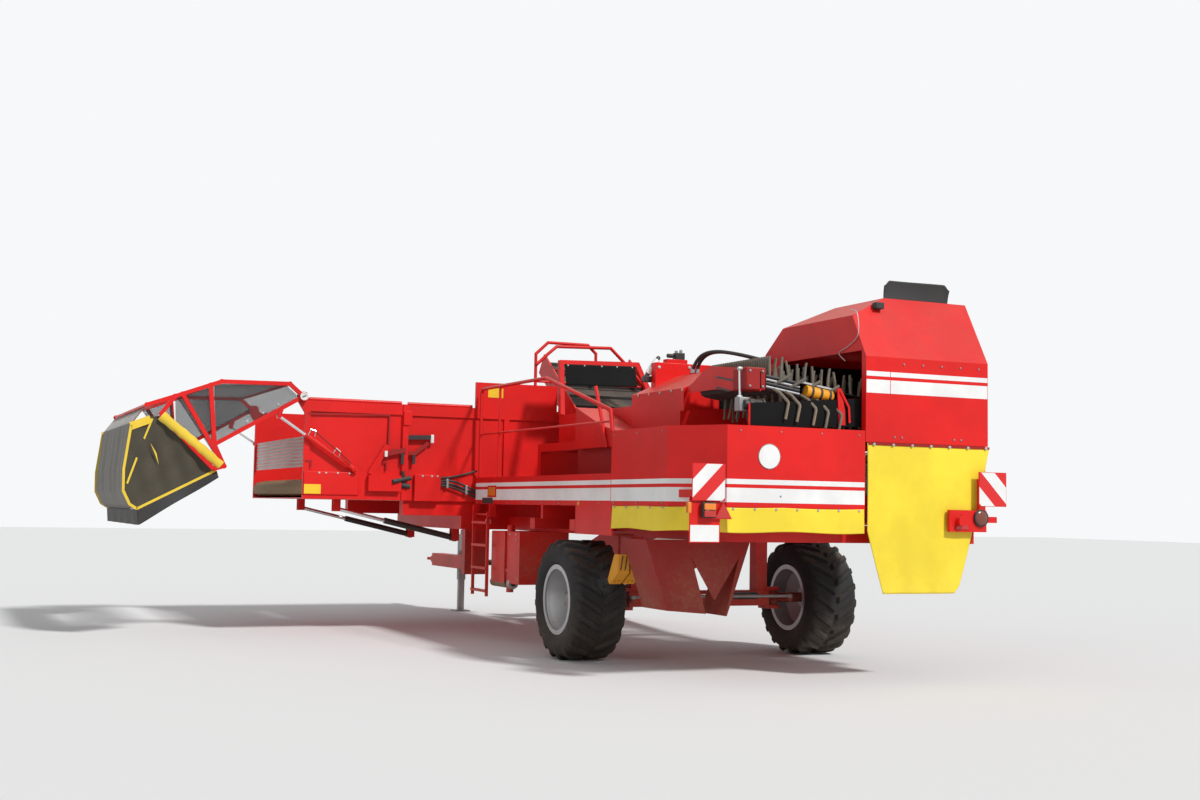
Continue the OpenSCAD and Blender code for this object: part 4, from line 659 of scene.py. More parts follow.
around_body = np.array([[0.155, REAR], [-1.095, REAR], [LEFT, -1.880], [LEFT, -0.846]])
stripe("rear_stripe_thin", around_body, 1.547, 1.586)
stripe("rear_stripe_wide", around_body, 1.408, 1.519)
stripe("platform_stripe_thin", [[LEFT, -0.834], [LEFT, 2.545]], 1.546, 1.585)
stripe("platform_stripe_wide", [[LEFT, -0.834], [LEFT, 2.545]], 1.410, 1.518)
stripe("housing_stripe_thin", [[0.170, REAR], [0.397, REAR]], 2.442, 2.481)
stripe("housing_stripe_wide", [[0.170, REAR], [0.397, REAR]], 2.306, 2.414)
stripe("housing_stripe_thin_right", [[0.403, REAR], [1.372, REAR]], 2.442, 2.481)
stripe("housing_stripe_wide_right", [[0.403, REAR], [1.372, REAR]], 2.306, 2.414)
print("stripes on body, platform and housing")

# %% [markdown]
# ## Warning boards and lamps
# Each board is a white plate with red slanted bars, so its finish is a stripe worked out from the
# object's own coordinates: position across plus height, divided by the bar's pitch, and its
# fraction. The lamps are turned lenses and pressed triangles on the carriers that the solids have.

# %% Striped board finish
def barred(name, slope, centre):
    """White and red bars at 45 degrees; slope picks the way they lean."""
    stuff = finish(name, (0.80, 0.80, 0.79), 0.3, dust=0.25)
    tree = stuff.node_tree
    where = node(tree, "TexCoord").outputs["Object"]
    x, _, z = node(tree, "SeparateXYZ", {0: where}).outputs
    lean = maths(tree, "ADD", maths(tree, "MULTIPLY", maths(tree, "SUBTRACT", x, centre[0]), slope),
                 maths(tree, "SUBTRACT", z, centre[1]))
    part = maths(tree, "FRACT", maths(tree, "ADD", maths(tree, "DIVIDE", lean, 0.272), -0.07))
    red_here = ramp(tree, part, 0.498, 0.502)
    painted = next(n for n in tree.nodes if n.type == "MIX" and n.data_type == "RGBA")
    bars = node(tree, "Mix", {0: red_here, 6: painted.outputs[2], 7: (0.62, 0.010, 0.010, 1)}, data_type="RGBA")
    for link in [k for k in tree.links if k.from_socket == painted.outputs[2] and k.to_node != bars]:
        tree.links.new(bars.outputs[2], link.to_socket)
    return stuff


finishes["left_board"] = barred("Left board bars", -1, at([-1.289, 0, 1.555])[[0, 2]])
finishes["right_board"] = barred("Right board bars", 1, at([1.369, 0, 1.555])[[0, 2]])
finishes["red_lens"] = finish("Red lens", (0.50, 0.012, 0.008), 0.12, coat=0.6, dust=0.3)
finishes["dark_lens"] = finish("Smoked red lens", (0.16, 0.03, 0.01), 0.12, coat=0.6, dust=0.35)
finishes["amber_lens"] = finish("Amber lens", (0.80, 0.22, 0.01), 0.12, coat=0.6, dust=0.2)
finishes["clear_lens"] = finish("Clear lens", (0.62, 0.64, 0.65), 0.08, coat=0.8, dust=0.25)
finishes["yellow_film"] = finish("Yellow film", (0.85, 0.55, 0.02), 0.3, dust=0.2)
print("board and lens finishes ready")

# %% Boards, reflectors and lamps
BOARD = 0.282
for label, left, stuff in (("left", -1.430, "left_board"), ("right", 1.228, "right_board")):
    y = REAR - 0.0705
    face = np.array([[left + 0.004, y, 1.418], [left + BOARD - 0.004, y, 1.418],
                     [left + BOARD - 0.004, y, 1.692], [left + 0.004, y, 1.692]])
    film = plate(f"{label}_board_film", face, (0, -0.0015, 0))
    place(film, "chassis", stuff, "white_film")
lamp_face = REAR - 0.104


def lamp(name, centre, radius, stuff, axis=(0, -1, 0), tall=0.03):
    """Round lamp: a black rim and a domed lens turned about its axis."""
    rim = turned(name + "_rim", [[0, 0], [radius * 1.12, 0], [radius * 1.16, tall * 0.25], [radius * 1.12, tall * 0.62],
                                 [radius * 0.98, tall * 0.68], [radius * 0.97, tall * 0.5], [0, tall * 0.5]], centre, axis)
    place(rim, "chassis", "black_rubber")
    dome = np.linspace(0, np.pi / 2, 9)
    lens_profile = np.column_stack([radius * 0.97 * np.cos(dome), tall * (0.55 + 0.42 * np.sin(dome))])
    rings = lens_profile + np.column_stack([0 * dome, 0.0006 * np.cos(dome * 24)])
    lens = turned(name + "_lens", np.vstack([[[0, tall * 0.5]], rings]), centre, axis)
    place(lens, "chassis", stuff, "yellow_plastic")


def reflector(name, centre, wide, body="chassis"):
    """Triangular reflector: a raised red triangle with a narrow frame."""
    cx, y, cz = centre
    corners = lambda s, back: np.array([[cx - wide / 2 * s, y - back, cz - wide * 0.29 * s],
                                        [cx + wide / 2 * s, y - back, cz - wide * 0.29 * s], [cx, y - back, cz + wide * 0.58 * s]])
    outer = plate(name + "_frame", corners(1.0, 0), (0, -0.005, 0))
    place(outer, body, "red_paint")
    inner = plate(name, corners(0.86, 0.005), (0, -0.003, 0))
    place(inner, body, "red_lens", "yellow_plastic")



def block_piece(name, low, high, body, stuff, slot_name=None, edge=0.004):
    """Folded sheet box: twelve edges of a block, rounded by a two-step bevel."""
    low, high = np.asarray(low, float), np.asarray(high, float)
    base = np.array([[0, 0], [1, 0], [1, 1], [0, 1]])
    floor_ring = np.column_stack([low[:2] + base * (high - low)[:2], np.full(4, low[2])])
    piece = plate(name, floor_ring, (0, 0, high[2] - low[2]))
    rim = piece.modifiers.new("folded edges", "BEVEL")
    rim.width, rim.segments, rim.limit_method = edge, 2, "ANGLE"
    return place(piece, body, stuff, slot_name)


def lamp_box(name, across, tall, y):
    """Two-chamber rear lamp: a black tray and an orange lens over a red one."""
    block_piece(name + "_tray", [across[0], y - 0.030, tall[0]], [across[1], y + 0.006, tall[1]], "chassis", "black_rubber")
    middle = (tall[0] + tall[1]) / 2
    for part, low_z, high_z, stuff in (("orange", middle + 0.003, tall[1] - 0.008, "amber_lens"),
                                       ("red", tall[0] + 0.008, middle - 0.003, "red_lens")):
        block_piece(f"{name}_{part}", [across[0] + 0.008, y - 0.042, low_z], [across[1] - 0.008, y - 0.030, high_z], "chassis",
                    stuff, "yellow_plastic", edge=0.005)


lamp("right_stop_lamp", [1.250, REAR - 0.0605, 1.318], 0.062, "dark_lens")
reflector("right_reflector", [1.065, REAR - 0.0605, 1.262], 0.15)
lamp_box("left_lamp", [-1.352, -1.238], [1.286, 1.402], REAR - 0.070)
reflector("left_reflector", [-1.165, REAR - 0.0705, 1.322], 0.150)
print("boards, lamps and reflectors")

# %% Speed disc, plate and blank signs
disc = turned("speed_disc", [[0, 0.0015], [0.0985, 0.0015], [0.0985, -0.001], [0, -0.001]], [-0.725, REAR - 0.004, 1.766],
              [0, -1, 0], count=64)
place(disc, "chassis", "white_film")
ring = turned("speed_disc_ring", [[0.094, 0.0022], [0.0975, 0.0022], [0.0975, 0.001], [0.094, 0.001], [0.094, 0.0022]],
              [-0.725, REAR - 0.004, 1.766], [0, -1, 0], count=64)
place(ring, "chassis", "black_rubber")
number_plate = plate("number_plate", [[-1.432, REAR - 0.0505, 1.108], [-1.188, REAR - 0.0505, 1.108],
                                      [-1.188, REAR - 0.0505, 1.232], [-1.432, REAR - 0.0505, 1.232]], (0, -0.0012, 0))
place(number_plate, "chassis", "white_film")


def sign(name, corner, wide_vec, tall_vec, body="chassis", stuff="yellow_film", slot_name="yellow_plastic"):
    """Blank film sign: four corners from one corner and two edge vectors, lifted 1 mm off the sheet."""
    corner, wide_vec, tall_vec = (np.asarray(v, float) for v in (corner, wide_vec, tall_vec))
    lift = np.cross(wide_vec, tall_vec)
    lift /= np.linalg.norm(lift)
    outline = corner + lift * 0.0002 + np.array([0 * wide_vec, wide_vec, wide_vec + tall_vec, tall_vec])
    film = plate(name, outline, lift * 0.0009)
    return place(film, body, stuff, slot_name)


sign("bunker_sign", [-3.200, 2.5395, 1.440], [0.17, 0, 0], [0, 0, 0.095], "head")
sign("wall_sign", [-1.245, 2.5995, 2.50], [0.17, 0, 0], [0, 0, 0.10])
print("blank signs")

# %% Bolts


def bolt_rows(name, spots, direction, body="chassis", radius=0.009, tall=0.007, stuff="grey_steel"):
    """One mesh of hexagon bolts at the spots, all pointing one way."""
    turns = {"rear": TO_REAR, "left": TO_LEFT, "right": TO_LEFT * [[-1], [1], [1]], "up": np.eye(3)}[direction]
    rows = repeated(name, nut_grid(radius, tall), spots, np.broadcast_to(turns, (len(spots), 3, 3)))
    return place(rows, body, stuff)


bolt_rows("housing_bolts", [[x, REAR, 2.55] for x in np.linspace(0.53, 1.28, 5)], "rear")
bolt_rows("housing_low_bolts", [[x, REAR, 1.955] for x in (0.44, 0.51, 1.03, 1.10)], "rear")
bolt_rows("panel_bolts", [[x, REAR, 1.96] for x in (-0.98, -0.62, -0.25, 0.10)] + [[-0.62, REAR, 1.46]], "rear", radius=0.007)
bolt_rows("side_panel_bolts", [[LEFT, y, z] for y in (-1.80, -1.34, -0.90) for z in (1.39, 1.96)], "left", radius=0.007)
bolt_rows("platform_bolts", [[LEFT, y, 1.385] for y in np.arange(-0.6, 2.5, 0.44)], "left", radius=0.007)
print("bolts placed")

# %% [markdown]
# ## The drop sail
# Cloth walls under the boom's end let the crop down gently. Each side wall is a patch between an
# upper and a lower edge line. Wrinkles run from the corners where the cloth is laced, so the patch
# is pushed out by waves that fade to nothing at its edges. Yellow webbing binds every edge.

# %% Side walls of the sail
NEAR, FAR = 2.541, 5.059
upper_edge = np.array([[-4.885, 2.075], [-4.700, 2.150], [-4.612, 2.160], [-4.095, 1.662]])
lower_edge = np.array([[-4.938, 1.440], [-4.870, 1.300], [-4.800, 1.255], [-4.060, 1.640]])


def edge_line(corners, share):
    """Point on a corner line at a share of its length."""
    reach = np.concatenate([[0], np.cumsum(np.linalg.norm(np.diff(corners, axis=0), axis=1))])
    return np.stack([np.interp(share * reach[-1], reach, corners[:, k]) for k in (0, 1)], -1)


share = np.linspace(0, 1, 90)
fall = np.linspace(0, 1, 70)[:, None]
upper, lower = edge_line(upper_edge, share), edge_line(lower_edge, share)
field = upper[None] * (1 - fall[..., None]) + lower[None] * fall[..., None]
fade = np.sin(np.pi * share)[None] ** 0.6 * np.sin(np.pi * fall) ** 0.6
folds = 0.016 * np.sin(30 * (field[..., 0] + 4.7) + 9 * (field[..., 1] - 1.7)) + 0.012 * np.sin(
    17 * (field[..., 1] - 1.3) - 21 * (field[..., 0] + 4.4)) + 0.02
for label, y, inwards in (("near", NEAR, 1), ("far", FAR, -1)):
    wall = np.stack([field[..., 0], y + inwards * fade * folds, field[..., 1]], -1)
    side_wall = tidy(surface(f"{label}_sail_wall", at(wall), uv=field), outward=False)
    thicken(side_wall, 0.002)
    place(side_wall, "boom", "sail_cloth", "yellow_fabric")
    if label == "near":
        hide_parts("sail")
print("sail walls", round(float(folds.max() * 1000)), "mm deep folds")

# %% End wall and lower flap of the sail
end_line = np.array([[-4.765, 2.236], [-4.885, 2.085], [-4.944, 1.640], [-4.938, 1.440], [-4.870, 1.300], [-4.812, 1.262]])
fall = np.linspace(0, 1, 60)
profile = edge_line(end_line, fall)
across = np.linspace(NEAR + 0.006, FAR - 0.006, 120)[None, :]
sag = 0.014 * np.sin(np.pi * fall)[:, None] * (1 + np.sin(6.3 * across) * 0.4 + 0.3 * np.sin(17 * across + 5 * fall[:, None]))
end = np.stack([np.maximum(profile[:, :1] + sag, -4.9485), across + 0 * sag, profile[:, 1:] + 0 * sag], -1)
end_wall = tidy(surface("end_sail_wall", at(end), uv=np.stack([across + 0 * sag, fall[:, None] + 0 * sag], -1)), outward=False)
thicken(end_wall, 0.002)
place(end_wall, "boom", "sail_cloth", "yellow_fabric")
hem_plan = np.array([[-4.062, NEAR], [-4.806, NEAR], [-4.806, FAR], [-4.062, FAR]])
reach = np.concatenate([[0], np.cumsum(np.linalg.norm(np.diff(hem_plan, axis=0), axis=1))])
run = np.linspace(0, reach[-1], 220)
hx, hy = (np.interp(run, reach, hem_plan[:, k]) for k in (0, 1))
hem_top = np.interp(hx, [-4.80, -4.06], [1.258, 1.640])
depth = np.interp(hx, [-4.80, -4.06], [0.150, 0.06])
drop = np.linspace(0, 1, 14)[:, None]
swing = 0.012 * drop * np.sin(11 * run)[None]
flap = np.stack([hx + swing * 0.6 + 0.02 * drop, hy + swing * np.sign(3.8 - hy), hem_top - depth * drop], -1)
lower_flap = tidy(surface("lower_sail_flap", at(flap), uv=np.stack([run + 0 * drop, hem_top - depth * drop], -1)), outward=False)
thicken(lower_flap, 0.003)
place(lower_flap, "boom", "black_rubber", "black_rubber")
print("lower flap", round(float(reach[-1]), 2), "m long")

# %% Webbing, sleeves and patch


def webbing(name, line, y, width, out):
    """Flat webbing along a corner line in the side's plane, folded over the cloth's edge."""
    fine_line = edge_line(np.asarray(line), np.linspace(0, 1, 30))
    path = np.column_stack([fine_line[:, 0], np.full(30, y + out), fine_line[:, 1]])
    return place(sweep(name, path, slab(0.007, width), up=(0.3, 0, 1)), "boom", "yellow_fabric")


for label, y, out in (("near", NEAR, -0.001), ("far", FAR, 0.001)):
    webbing(f"{label}_hem_webbing", [[-4.802, 1.262], [-4.075, 1.648]], y, 0.024, out)
    webbing(f"{label}_corner_webbing", [[-4.936, 1.440], [-4.870, 1.305], [-4.800, 1.262]], y, 0.026, out)
    webbing(f"{label}_top_webbing", [[-4.888, 2.050], [-4.705, 2.125]], y, 0.075, out)
    seam = sweep(f"{label}_seam_webbing", [[-4.69, y + out * 2, 2.13], [-4.77, y + out * 2 + np.sign(3.8 - y) * 0.016, 1.90],
                                           [-4.90, y + out * 2, 1.50]], slab(0.005, 0.018), up=(1, 0, 0.3))
    place(seam, "boom", "yellow_fabric")
    post = sweep(f"{label}_outer_webbing", [[-4.884, y + out, 2.06], [-4.936, y + out, 1.64], [-4.933, y + out, 1.44]],
                 slab(0.007, 0.024), up=(1, 0, 0.1))
    place(post, "boom", "yellow_fabric")
    middle_y = 2.518 if label == "near" else 5.082
    start, stop = np.array([-4.610, middle_y, 2.163]), np.array([-4.030, middle_y, 1.697])
    share = np.linspace(0, 1, 60)[:, None]
    swell = 1 + 0.05 * np.sin(share * 40) + 0.04 * np.sin(share * 17 + 1)
    core = start + (stop - start) * share
    direction = (stop - start) / np.linalg.norm(stop - start)
    lift = np.cross(direction, [0, 1, 0])
    round_by = np.linspace(0, 2 * np.pi, 28, endpoint=False)[None, :, None]
    sleeve = core[:, None] + swell[:, None] * (0.041 * np.cos(round_by) * np.array([0, 1, 0]) + 0.048 * np.sin(round_by) * lift)
    sleeve = np.concatenate([np.repeat(core[:1, None], 28, 1), sleeve, np.repeat(core[-1:, None], 28, 1)])
    place(tidy(surface(f"{label}_sleeve", at(sleeve), wrap_v=True)), "boom", "yellow_fabric")
    diamond = [[-4.700, y + out * 3, 1.895], [-4.640, y + out * 3, 1.800], [-4.615, y + out * 3, 1.690], [-4.655, y + out * 3, 1.790]]
    place(plate(f"{label}_patch", diamond, (0, out * 2, 0)), "boom", "yellow_fabric")
print("webbing and sleeves")

# %% [markdown]
# ## Netting on the boom
# Black netting keeps the crop from bouncing out. It is laced inside the tubes, so each panel is a
# four-cornered patch, tight at its edges and slightly slack between them.

# %% Netting


def net_panel(name, corners, body="boom", bulge=(0, 0.01, 0), grid=(40, 40)):
    """Patch through four corners, in order round it, with a shallow bulge in the middle."""
    a, b, c, d = (np.asarray(p, float) for p in corners)
    u = np.linspace(0, 1, grid[0])[:, None, None]
    v = np.linspace(0, 1, grid[1])[None, :, None]
    patch = (1 - u) * ((1 - v) * a + v * b) + u * ((1 - v) * d + v * c)
    patch = patch + np.sin(np.pi * u) * np.sin(np.pi * v) * np.asarray(bulge)
    wide, tall = np.linalg.norm(b - a), np.linalg.norm(d - a)
    uv = np.concatenate([v * wide + 0 * u, u * tall + 0 * v], -1)
    piece = tidy(surface(name, at(patch), uv=uv), outward=False)
    place(piece, body, "black_net")
    return piece


for label, y, inwards in (("near", 2.541, 1), ("far", 5.059, -1)):
    net_panel(f"{label}_net_inner", [[-4.115, y, 2.49], [-3.42, y, 2.525], [-3.27, y, 2.40], [-4.085, y, 1.93]],
              bulge=(0, 0.012 * inwards, 0))
    net_panel(f"{label}_net_outer", [[-4.47, y, 2.345], [-4.150, y, 2.465], [-4.105, y, 1.93], [-4.035, y, 1.72]],
              bulge=(0, 0.012 * inwards, 0))
roof = net_panel("roof_net", [[-4.050, 2.543, 2.5215], [-3.410, 2.543, 2.5315], [-3.410, 5.057, 2.5315], [-4.050, 5.057, 2.5215]],
                 bulge=(0, 0, -0.03), grid=(60, 30))
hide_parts("boom_net")
print("netting on the boom")

# %% [markdown]
# ## Rubber fingers
# A short belt of rubber fingers combs the haulm from the crop. One tapering finger is a small grid.
# A close comb of copies stands over the end roller, and staggered rows, which lean a little from
# one seeded draw, cover the belt. The outermost fingers are bent, so they are swept along a line.

# %% Rubber fingers
draw = np.random.default_rng(7)
WEB_START, WEB_STOP, WEB_R = np.array([-0.620, 2.360]), np.array([0.420, 2.200]), 0.050
web_run = WEB_STOP - WEB_START
web_length = float(np.linalg.norm(web_run))
web_lean = math.atan2(web_run[1], web_run[0])


def finger(tall, hook=0.0):
    """Tapering rubber finger on a grid: a ring that shrinks on its way up and moves sideways by hook times height squared."""
    rings = np.linspace(0, 1, 6)[:, None]
    round_by = np.linspace(0, 2 * np.pi, 7, endpoint=False)[None, :]
    thick = 0.0140 - 0.0035 * rings
    grid = np.stack([hook * rings ** 2 + thick * np.cos(round_by), thick * np.sin(round_by), tall * rings + 0 * round_by], -1)
    return np.concatenate([np.repeat(grid[:1].mean(1, keepdims=True), 7, 1), grid, np.repeat(grid[-1:].mean(1, keepdims=True), 7, 1)])


def web_height(x, above):
    """Height of the web's top or bottom run at x."""
    return WEB_START[1] + (np.asarray(x) - WEB_START[0]) * math.tan(web_lean) + above * (WEB_R + 0.006)


comb_y = np.linspace(-2.115, -1.190, 26)
comb = repeated("finger_comb", finger(0.165), np.column_stack([0 * comb_y - 0.600, comb_y, 0 * comb_y + 2.408]), angle=60, weld=1e-6)
spots, leans = [], []
for row, x in enumerate(np.linspace(-0.49, 0.40, 9)):
    for y in np.arange(-2.10 + 0.055 * (row % 2), -1.15, 0.110):
        for way in (1, -1):
            spots.append([x, y, web_height(x, way)])
            leans.append((draw.normal(0, 0.07), draw.normal(0, 0.06), draw.uniform(0, 2 * np.pi), way))
turns = np.array([np.diag([1.0, way, way]) @ np.array(Euler((tilt_x, tilt_y, spin)).to_matrix())
                  for tilt_x, tilt_y, spin, way in leans])
rows_on_web = repeated("rubber_fingers", finger(0.175, 0.018), spots, turns, angle=60, weld=1e-6)
knees = []
for x in (-0.585, -0.480, -0.330, -0.215, -0.090):
    low = float(web_height(x, -1)) + 0.012
    knees.append([[x, -2.150, low], [x + 0.030, -2.205, low - 0.035], [x + 0.075, -2.250, low - 0.105],
                  [x + 0.078, -2.254, low - 0.122], [x + 0.050, -2.256, low - 0.245]])
for x in (-0.570, -0.430, -0.300, -0.120):
    high = float(web_height(x, 0))
    knees.append([[x, -2.140, high], [x + 0.035, -2.170, high + 0.018], [x + 0.120, -2.200, high + 0.075]])
bent = [sweep(f"bent_{k}", line, circle(0.0125, 8), up=(0.2, 0.9, 0.3)) for k, line in enumerate(knees)]
bent_fingers = joined("bent_fingers", bent)
finishes["finger_rubber"] = finish("Grey rubber fingers", (0.12, 0.115, 0.10), 0.7, dust=0.8, soil_line=2.6)
for piece in (comb, rows_on_web, bent_fingers):
    place(piece, "chassis", "finger_rubber", "black_rubber")
print(len(spots) + len(comb_y), "fingers")

# %% [markdown]
# ## The open end of the bunker head
# A tan rubber belt with low cleats turns round its roller there, under a perforated guard. The belt
# is a race-track profile carried across, with a cleat's height added where the distance along it
# says so. The guard's slots stand in rows, shifted by half a slot, so it is bars and short bridges.

# %% Discharge belt
finishes["tan_belt"] = finish("Tan belt", (0.24, 0.145, 0.055), 0.6, dust=0.5, soil_line=1.6, grain=40, bump=0.08)


def belt_loop(name, start, run, radius, low, high, cleat, pitch, body, stuff, node_name, side=(-1, 0), lean=0.0):
    """Race-track belt: two straight runs and two half circles, thickened, with raised cleats at a pitch."""
    half = np.pi * radius
    whole = 2 * run + 2 * half
    travel = np.linspace(0, whole, 900, endpoint=False)
    straight_1, arc_1 = travel < run, (travel >= run) & (travel < run + half)
    straight_2 = (travel >= run + half) & (travel < 2 * run + half)
    angle = np.select([straight_1, arc_1, straight_2], [0 * travel, (travel - run) / radius, np.pi + 0 * travel],
                      np.pi + (travel - 2 * run - half) / radius)
    ahead = np.select([straight_1, arc_1, straight_2], [travel, run + 0 * travel, run - (travel - run - half)], 0 * travel)
    bump = cleat * smooth(0.42, 0.47, np.abs((travel / pitch) % 1 - 0.5))
    rim = radius + 0.008 + bump
    flat, up = ahead + rim * np.sin(angle), rim * np.cos(angle)
    inner_flat, inner_up = ahead + radius * np.sin(angle), radius * np.cos(angle)
    c, s = math.cos(lean), math.sin(lean)
    ring = lambda f, u: np.stack([f * c - u * s, f * s + u * c], -1)
    outer, inner = ring(flat, up), ring(inner_flat, inner_up)
    rows = [(outer, low), (outer, high), (inner, high), (inner, low)]
    direction = np.array([side[0], side[1], 0.0])
    across = np.array([abs(side[1]), abs(side[0]), 0.0])
    grid = np.stack([np.asarray(start) + r[:, :1] * direction + r[:, 1:] * np.array([0, 0, 1.0]) + across * w
                     for r, w in rows], 1)
    piece = tidy(surface(name, at(grid), wrap_u=True, wrap_v=True))
    place(piece, body, stuff, "black_rubber")
    if node_name:
        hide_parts(node_name)
    return piece


belt_loop("head_discharge_belt", [-2.290, 0, 1.500], 0.840, 0.072, 2.600, 5.000, 0.010, 0.20, "head", "tan_belt", "head_belt")
belt_loop("picking_belt_cleated", [0, 0.190, 2.080], 1.680, 0.055, -0.662, 0.532, 0.006, 0.12, "chassis", "black_rubber",
          "picking_belt", side=(0, 1))
fill_lean = math.atan2(2.870 - 2.110, 3.100 - 2.040)
belt_loop("filler_belt_cleated", [0, 2.040, 2.110], math.hypot(1.060, 0.760), 0.060, -0.392, 0.622, 0.030, 0.22, "chassis",
          "black_rubber", "filler_belt", side=(0, 1), lean=fill_lean)
print("belts with cleats")

# %% Perforated guard in the head
bar_grid = np.array([[-1, -1, -1], [1, -1, -1], [1, 1, -1], [-1, 1, -1]]) * 0.5
box_rings = np.stack([0 * bar_grid + [0, 0, -0.5], bar_grid, bar_grid + [0, 0, 1], 0 * bar_grid + [0, 0, 0.5]])
rows_z = np.linspace(1.722, 2.008, 9)
bars = repeated("guard_bars", box_rings * [0.004, 2.40, 0.022], [[-3.185, 3.80, z] for z in rows_z])
gap_z = (rows_z[:-1] + rows_z[1:]) / 2
bridges = [[-3.185, 2.62 + (k + 0.5 * (i % 2)) * 0.075, z] for i, z in enumerate(gap_z) for k in range(32)]
bridges = [b for b in bridges if b[1] < 4.98]
teeth = repeated("guard_bridges", box_rings * [0.004, 0.030, 0.016], bridges)
guard = joined("perforated_guard", [bars, teeth])
finishes["pale_steel"] = finish("Galvanised steel", (0.50, 0.50, 0.49), 0.45, metallic=0.5, dust=0.4)
place(guard, "head", "pale_steel", "grey_steel")
print("guard with", len(bridges), "bridges")

# %% [markdown]
# ## Hydraulic motors, lines and small fittings
# Motors are turned shapes, lines are round sections carried along smooth paths through a few
# points. A Catmull-Rom curve passes through its points, so each line meets its clips exactly.

# %% Sets of lines


def line_set(name, routes, radius, body="chassis", stuff="black_rubber", slot_name="black_rubber"):
    """Clipped hoses or pipes: a circle carried along each smooth route, as one piece."""
    parts = [sweep(f"{name}_{k}", through(route), circle(radius, 10), up=(0.31, 0.17, 0.94)) for k, route in enumerate(routes)]
    return place(joined(name, parts), body, stuff, slot_name)


def motor(name, centre, axis, body="chassis"):
    """Gerotor motor: flange, round body, smaller end cap and a port boss."""
    profile = [[0, 0], [0.055, 0], [0.055, 0.014], [0.044, 0.018], [0.044, 0.075], [0.047, 0.080], [0.047, 0.125],
               [0.038, 0.135], [0.038, 0.165], [0.030, 0.172], [0, 0.172]]
    return place(turned(name, profile, centre, axis, count=24), body, "black_paint")


motor("cleaner_motor", [-0.30, -1.000, 2.15], [-1, 0, 0])
motor("cleaner_motor_low", [-0.55, -1.000, 2.07], [-1, 0, 0])
print("motors")

# %% Finger web's belt, side bars and carriers
# Blacker rubber with little dust, for sheets and flaps that sit in deep shade: real black rubber with painted shade.
finishes["painted_shade_rubber"] = finish("Black rubber darkened as painted shade", (0.007, 0.007, 0.007), 0.75, dust=0.10, scuffs=0.1, gloss=0.12)
belt_loop("finger_web_belt", [WEB_START[0], 0, WEB_START[1]], web_length, WEB_R, -2.135, -1.105, 0.004, 0.045, "chassis",
          "black_rubber", "finger_web", side=(1, 0), lean=web_lean)


def beside_web(x, above, y=-2.150):
    """Point beside the web: its middle line at x, moved up by a length."""
    return [x, y, float(web_height(x, 0)) + above]


for k, (above, stuff) in enumerate(((0.044, "black_paint"), (0.016, "grey_steel"), (-0.012, "black_paint"), (-0.040, "grey_steel"))):
    bar = sweep(f"web_side_bar_{k}", [beside_web(-0.655, above), beside_web(-0.345, above)], circle(0.0115, 10))
    place(bar, "chassis", stuff)
cover = turned("web_yellow_roller", [[0, 0], [0.044, 0], [0.047, 0.006], [0.047, 0.244], [0.044, 0.250], [0, 0.250]],
               beside_web(-0.300, -0.004, -2.168), web_run[[0, 1]][[0, 0, 1]] * [1, 0, 1], count=28)
place(cover, "chassis", "yellow_plastic")
for k, x in enumerate((-0.262, -0.180, -0.098)):
    strap = turned(f"web_roller_strap_{k}", [[0.0465, 0], [0.0505, 0], [0.0505, 0.020], [0.0465, 0.020], [0.0465, 0]],
                   beside_web(x, -0.004, -2.168), web_run[[0, 0, 1]] * [1, 0, 1], count=28)
    place(strap, "chassis", "black_rubber")
for label, above, stuff in (("top", 0.058, "pale_steel"), ("bottom", -0.060, "black_paint")):
    rail = sweep(f"web_{label}_rail", [beside_web(-0.330, above), beside_web(-0.030, above)], slab(0.05, 0.014))
    place(rail, "chassis", stuff, "grey_steel")
end_plate = plate("web_end_plate", [[-0.030, -2.245, 2.040], [0.030, -2.245, 2.040], [0.028, -2.245, 2.150], [-0.010, -2.245, 2.335],
                                    [-0.045, -2.245, 2.335]], (0, 0.012, 0))
place(end_plate, "chassis", "red_paint")
tie_bar = sweep("web_end_tie", [[-0.028, -2.232, 2.325], [-0.028, -2.140, 2.300]], circle(0.012, 10), up=(1, 0, 0.2))
place(tie_bar, "chassis", "grey_steel")
strap = sweep("web_end_strap", [[-0.020, -2.252, 2.315], [0.058, -2.252, 2.185], [0.066, -2.252, 2.060]], slab(0.006, 0.018), up=(1, 0, 0.2))
place(strap, "chassis", "red_paint")
panel = plate("web_slotted_panel", [[-0.722, -0.945, 2.395], [-0.722, -1.060, 2.430], [-0.722, -1.234, 2.510], [-0.722, -1.356, 2.546],
                                    [-0.722, -1.870, 2.492], [-0.722, -2.180, 2.434], [-0.722, -2.180, 2.284], [-0.722, -1.697, 2.318],
                                    [-0.722, -1.450, 2.345], [-0.722, -0.945, 2.345]],
              (0.008, 0, 0))
place(panel, "chassis", "red_paint")
# Black strips in the panel's slots: painted shade inside the slots.
for k, (near, far) in enumerate((([-1.924, 2.368], [-1.467, 2.446]), ([-1.697, 2.316], [-1.469, 2.359]))):
    slot = sweep(f"web_panel_slot_shade_{k}", [[-0.7235, near[0], near[1]], [-0.7235, far[0], far[1]]], slab(0.002, 0.016), up=(0, 0, 1))
    place(slot, "chassis", "black_paint")
block_piece("web_gear_case", [-0.845, -2.180, 2.290], [-0.668, -1.960, 2.470], "chassis", "dark_red_paint", edge=0.012)
bolt_rows("web_case_bolts", [[x, -2.180, z] for x in (-0.815, -0.700) for z in (2.32, 2.44)], "rear", radius=0.011, tall=0.010)
rod = sweep("web_case_rod", [[-0.868, -2.120, 2.235], [-0.868, -2.110, 2.455]], circle(0.009, 10), up=(1, 0, 0))
place(rod, "chassis", "chromed_rod")
for k, z in enumerate((2.235, 2.458)):
    place(turned(f"web_rod_end_{k}", [[0, -0.020], [0.014, -0.018], [0.018, 0], [0.014, 0.018], [0, 0.020]],
                 [-0.868, -2.115, z], [1, 0, 0], count=16), "chassis", "pale_steel", "grey_steel")
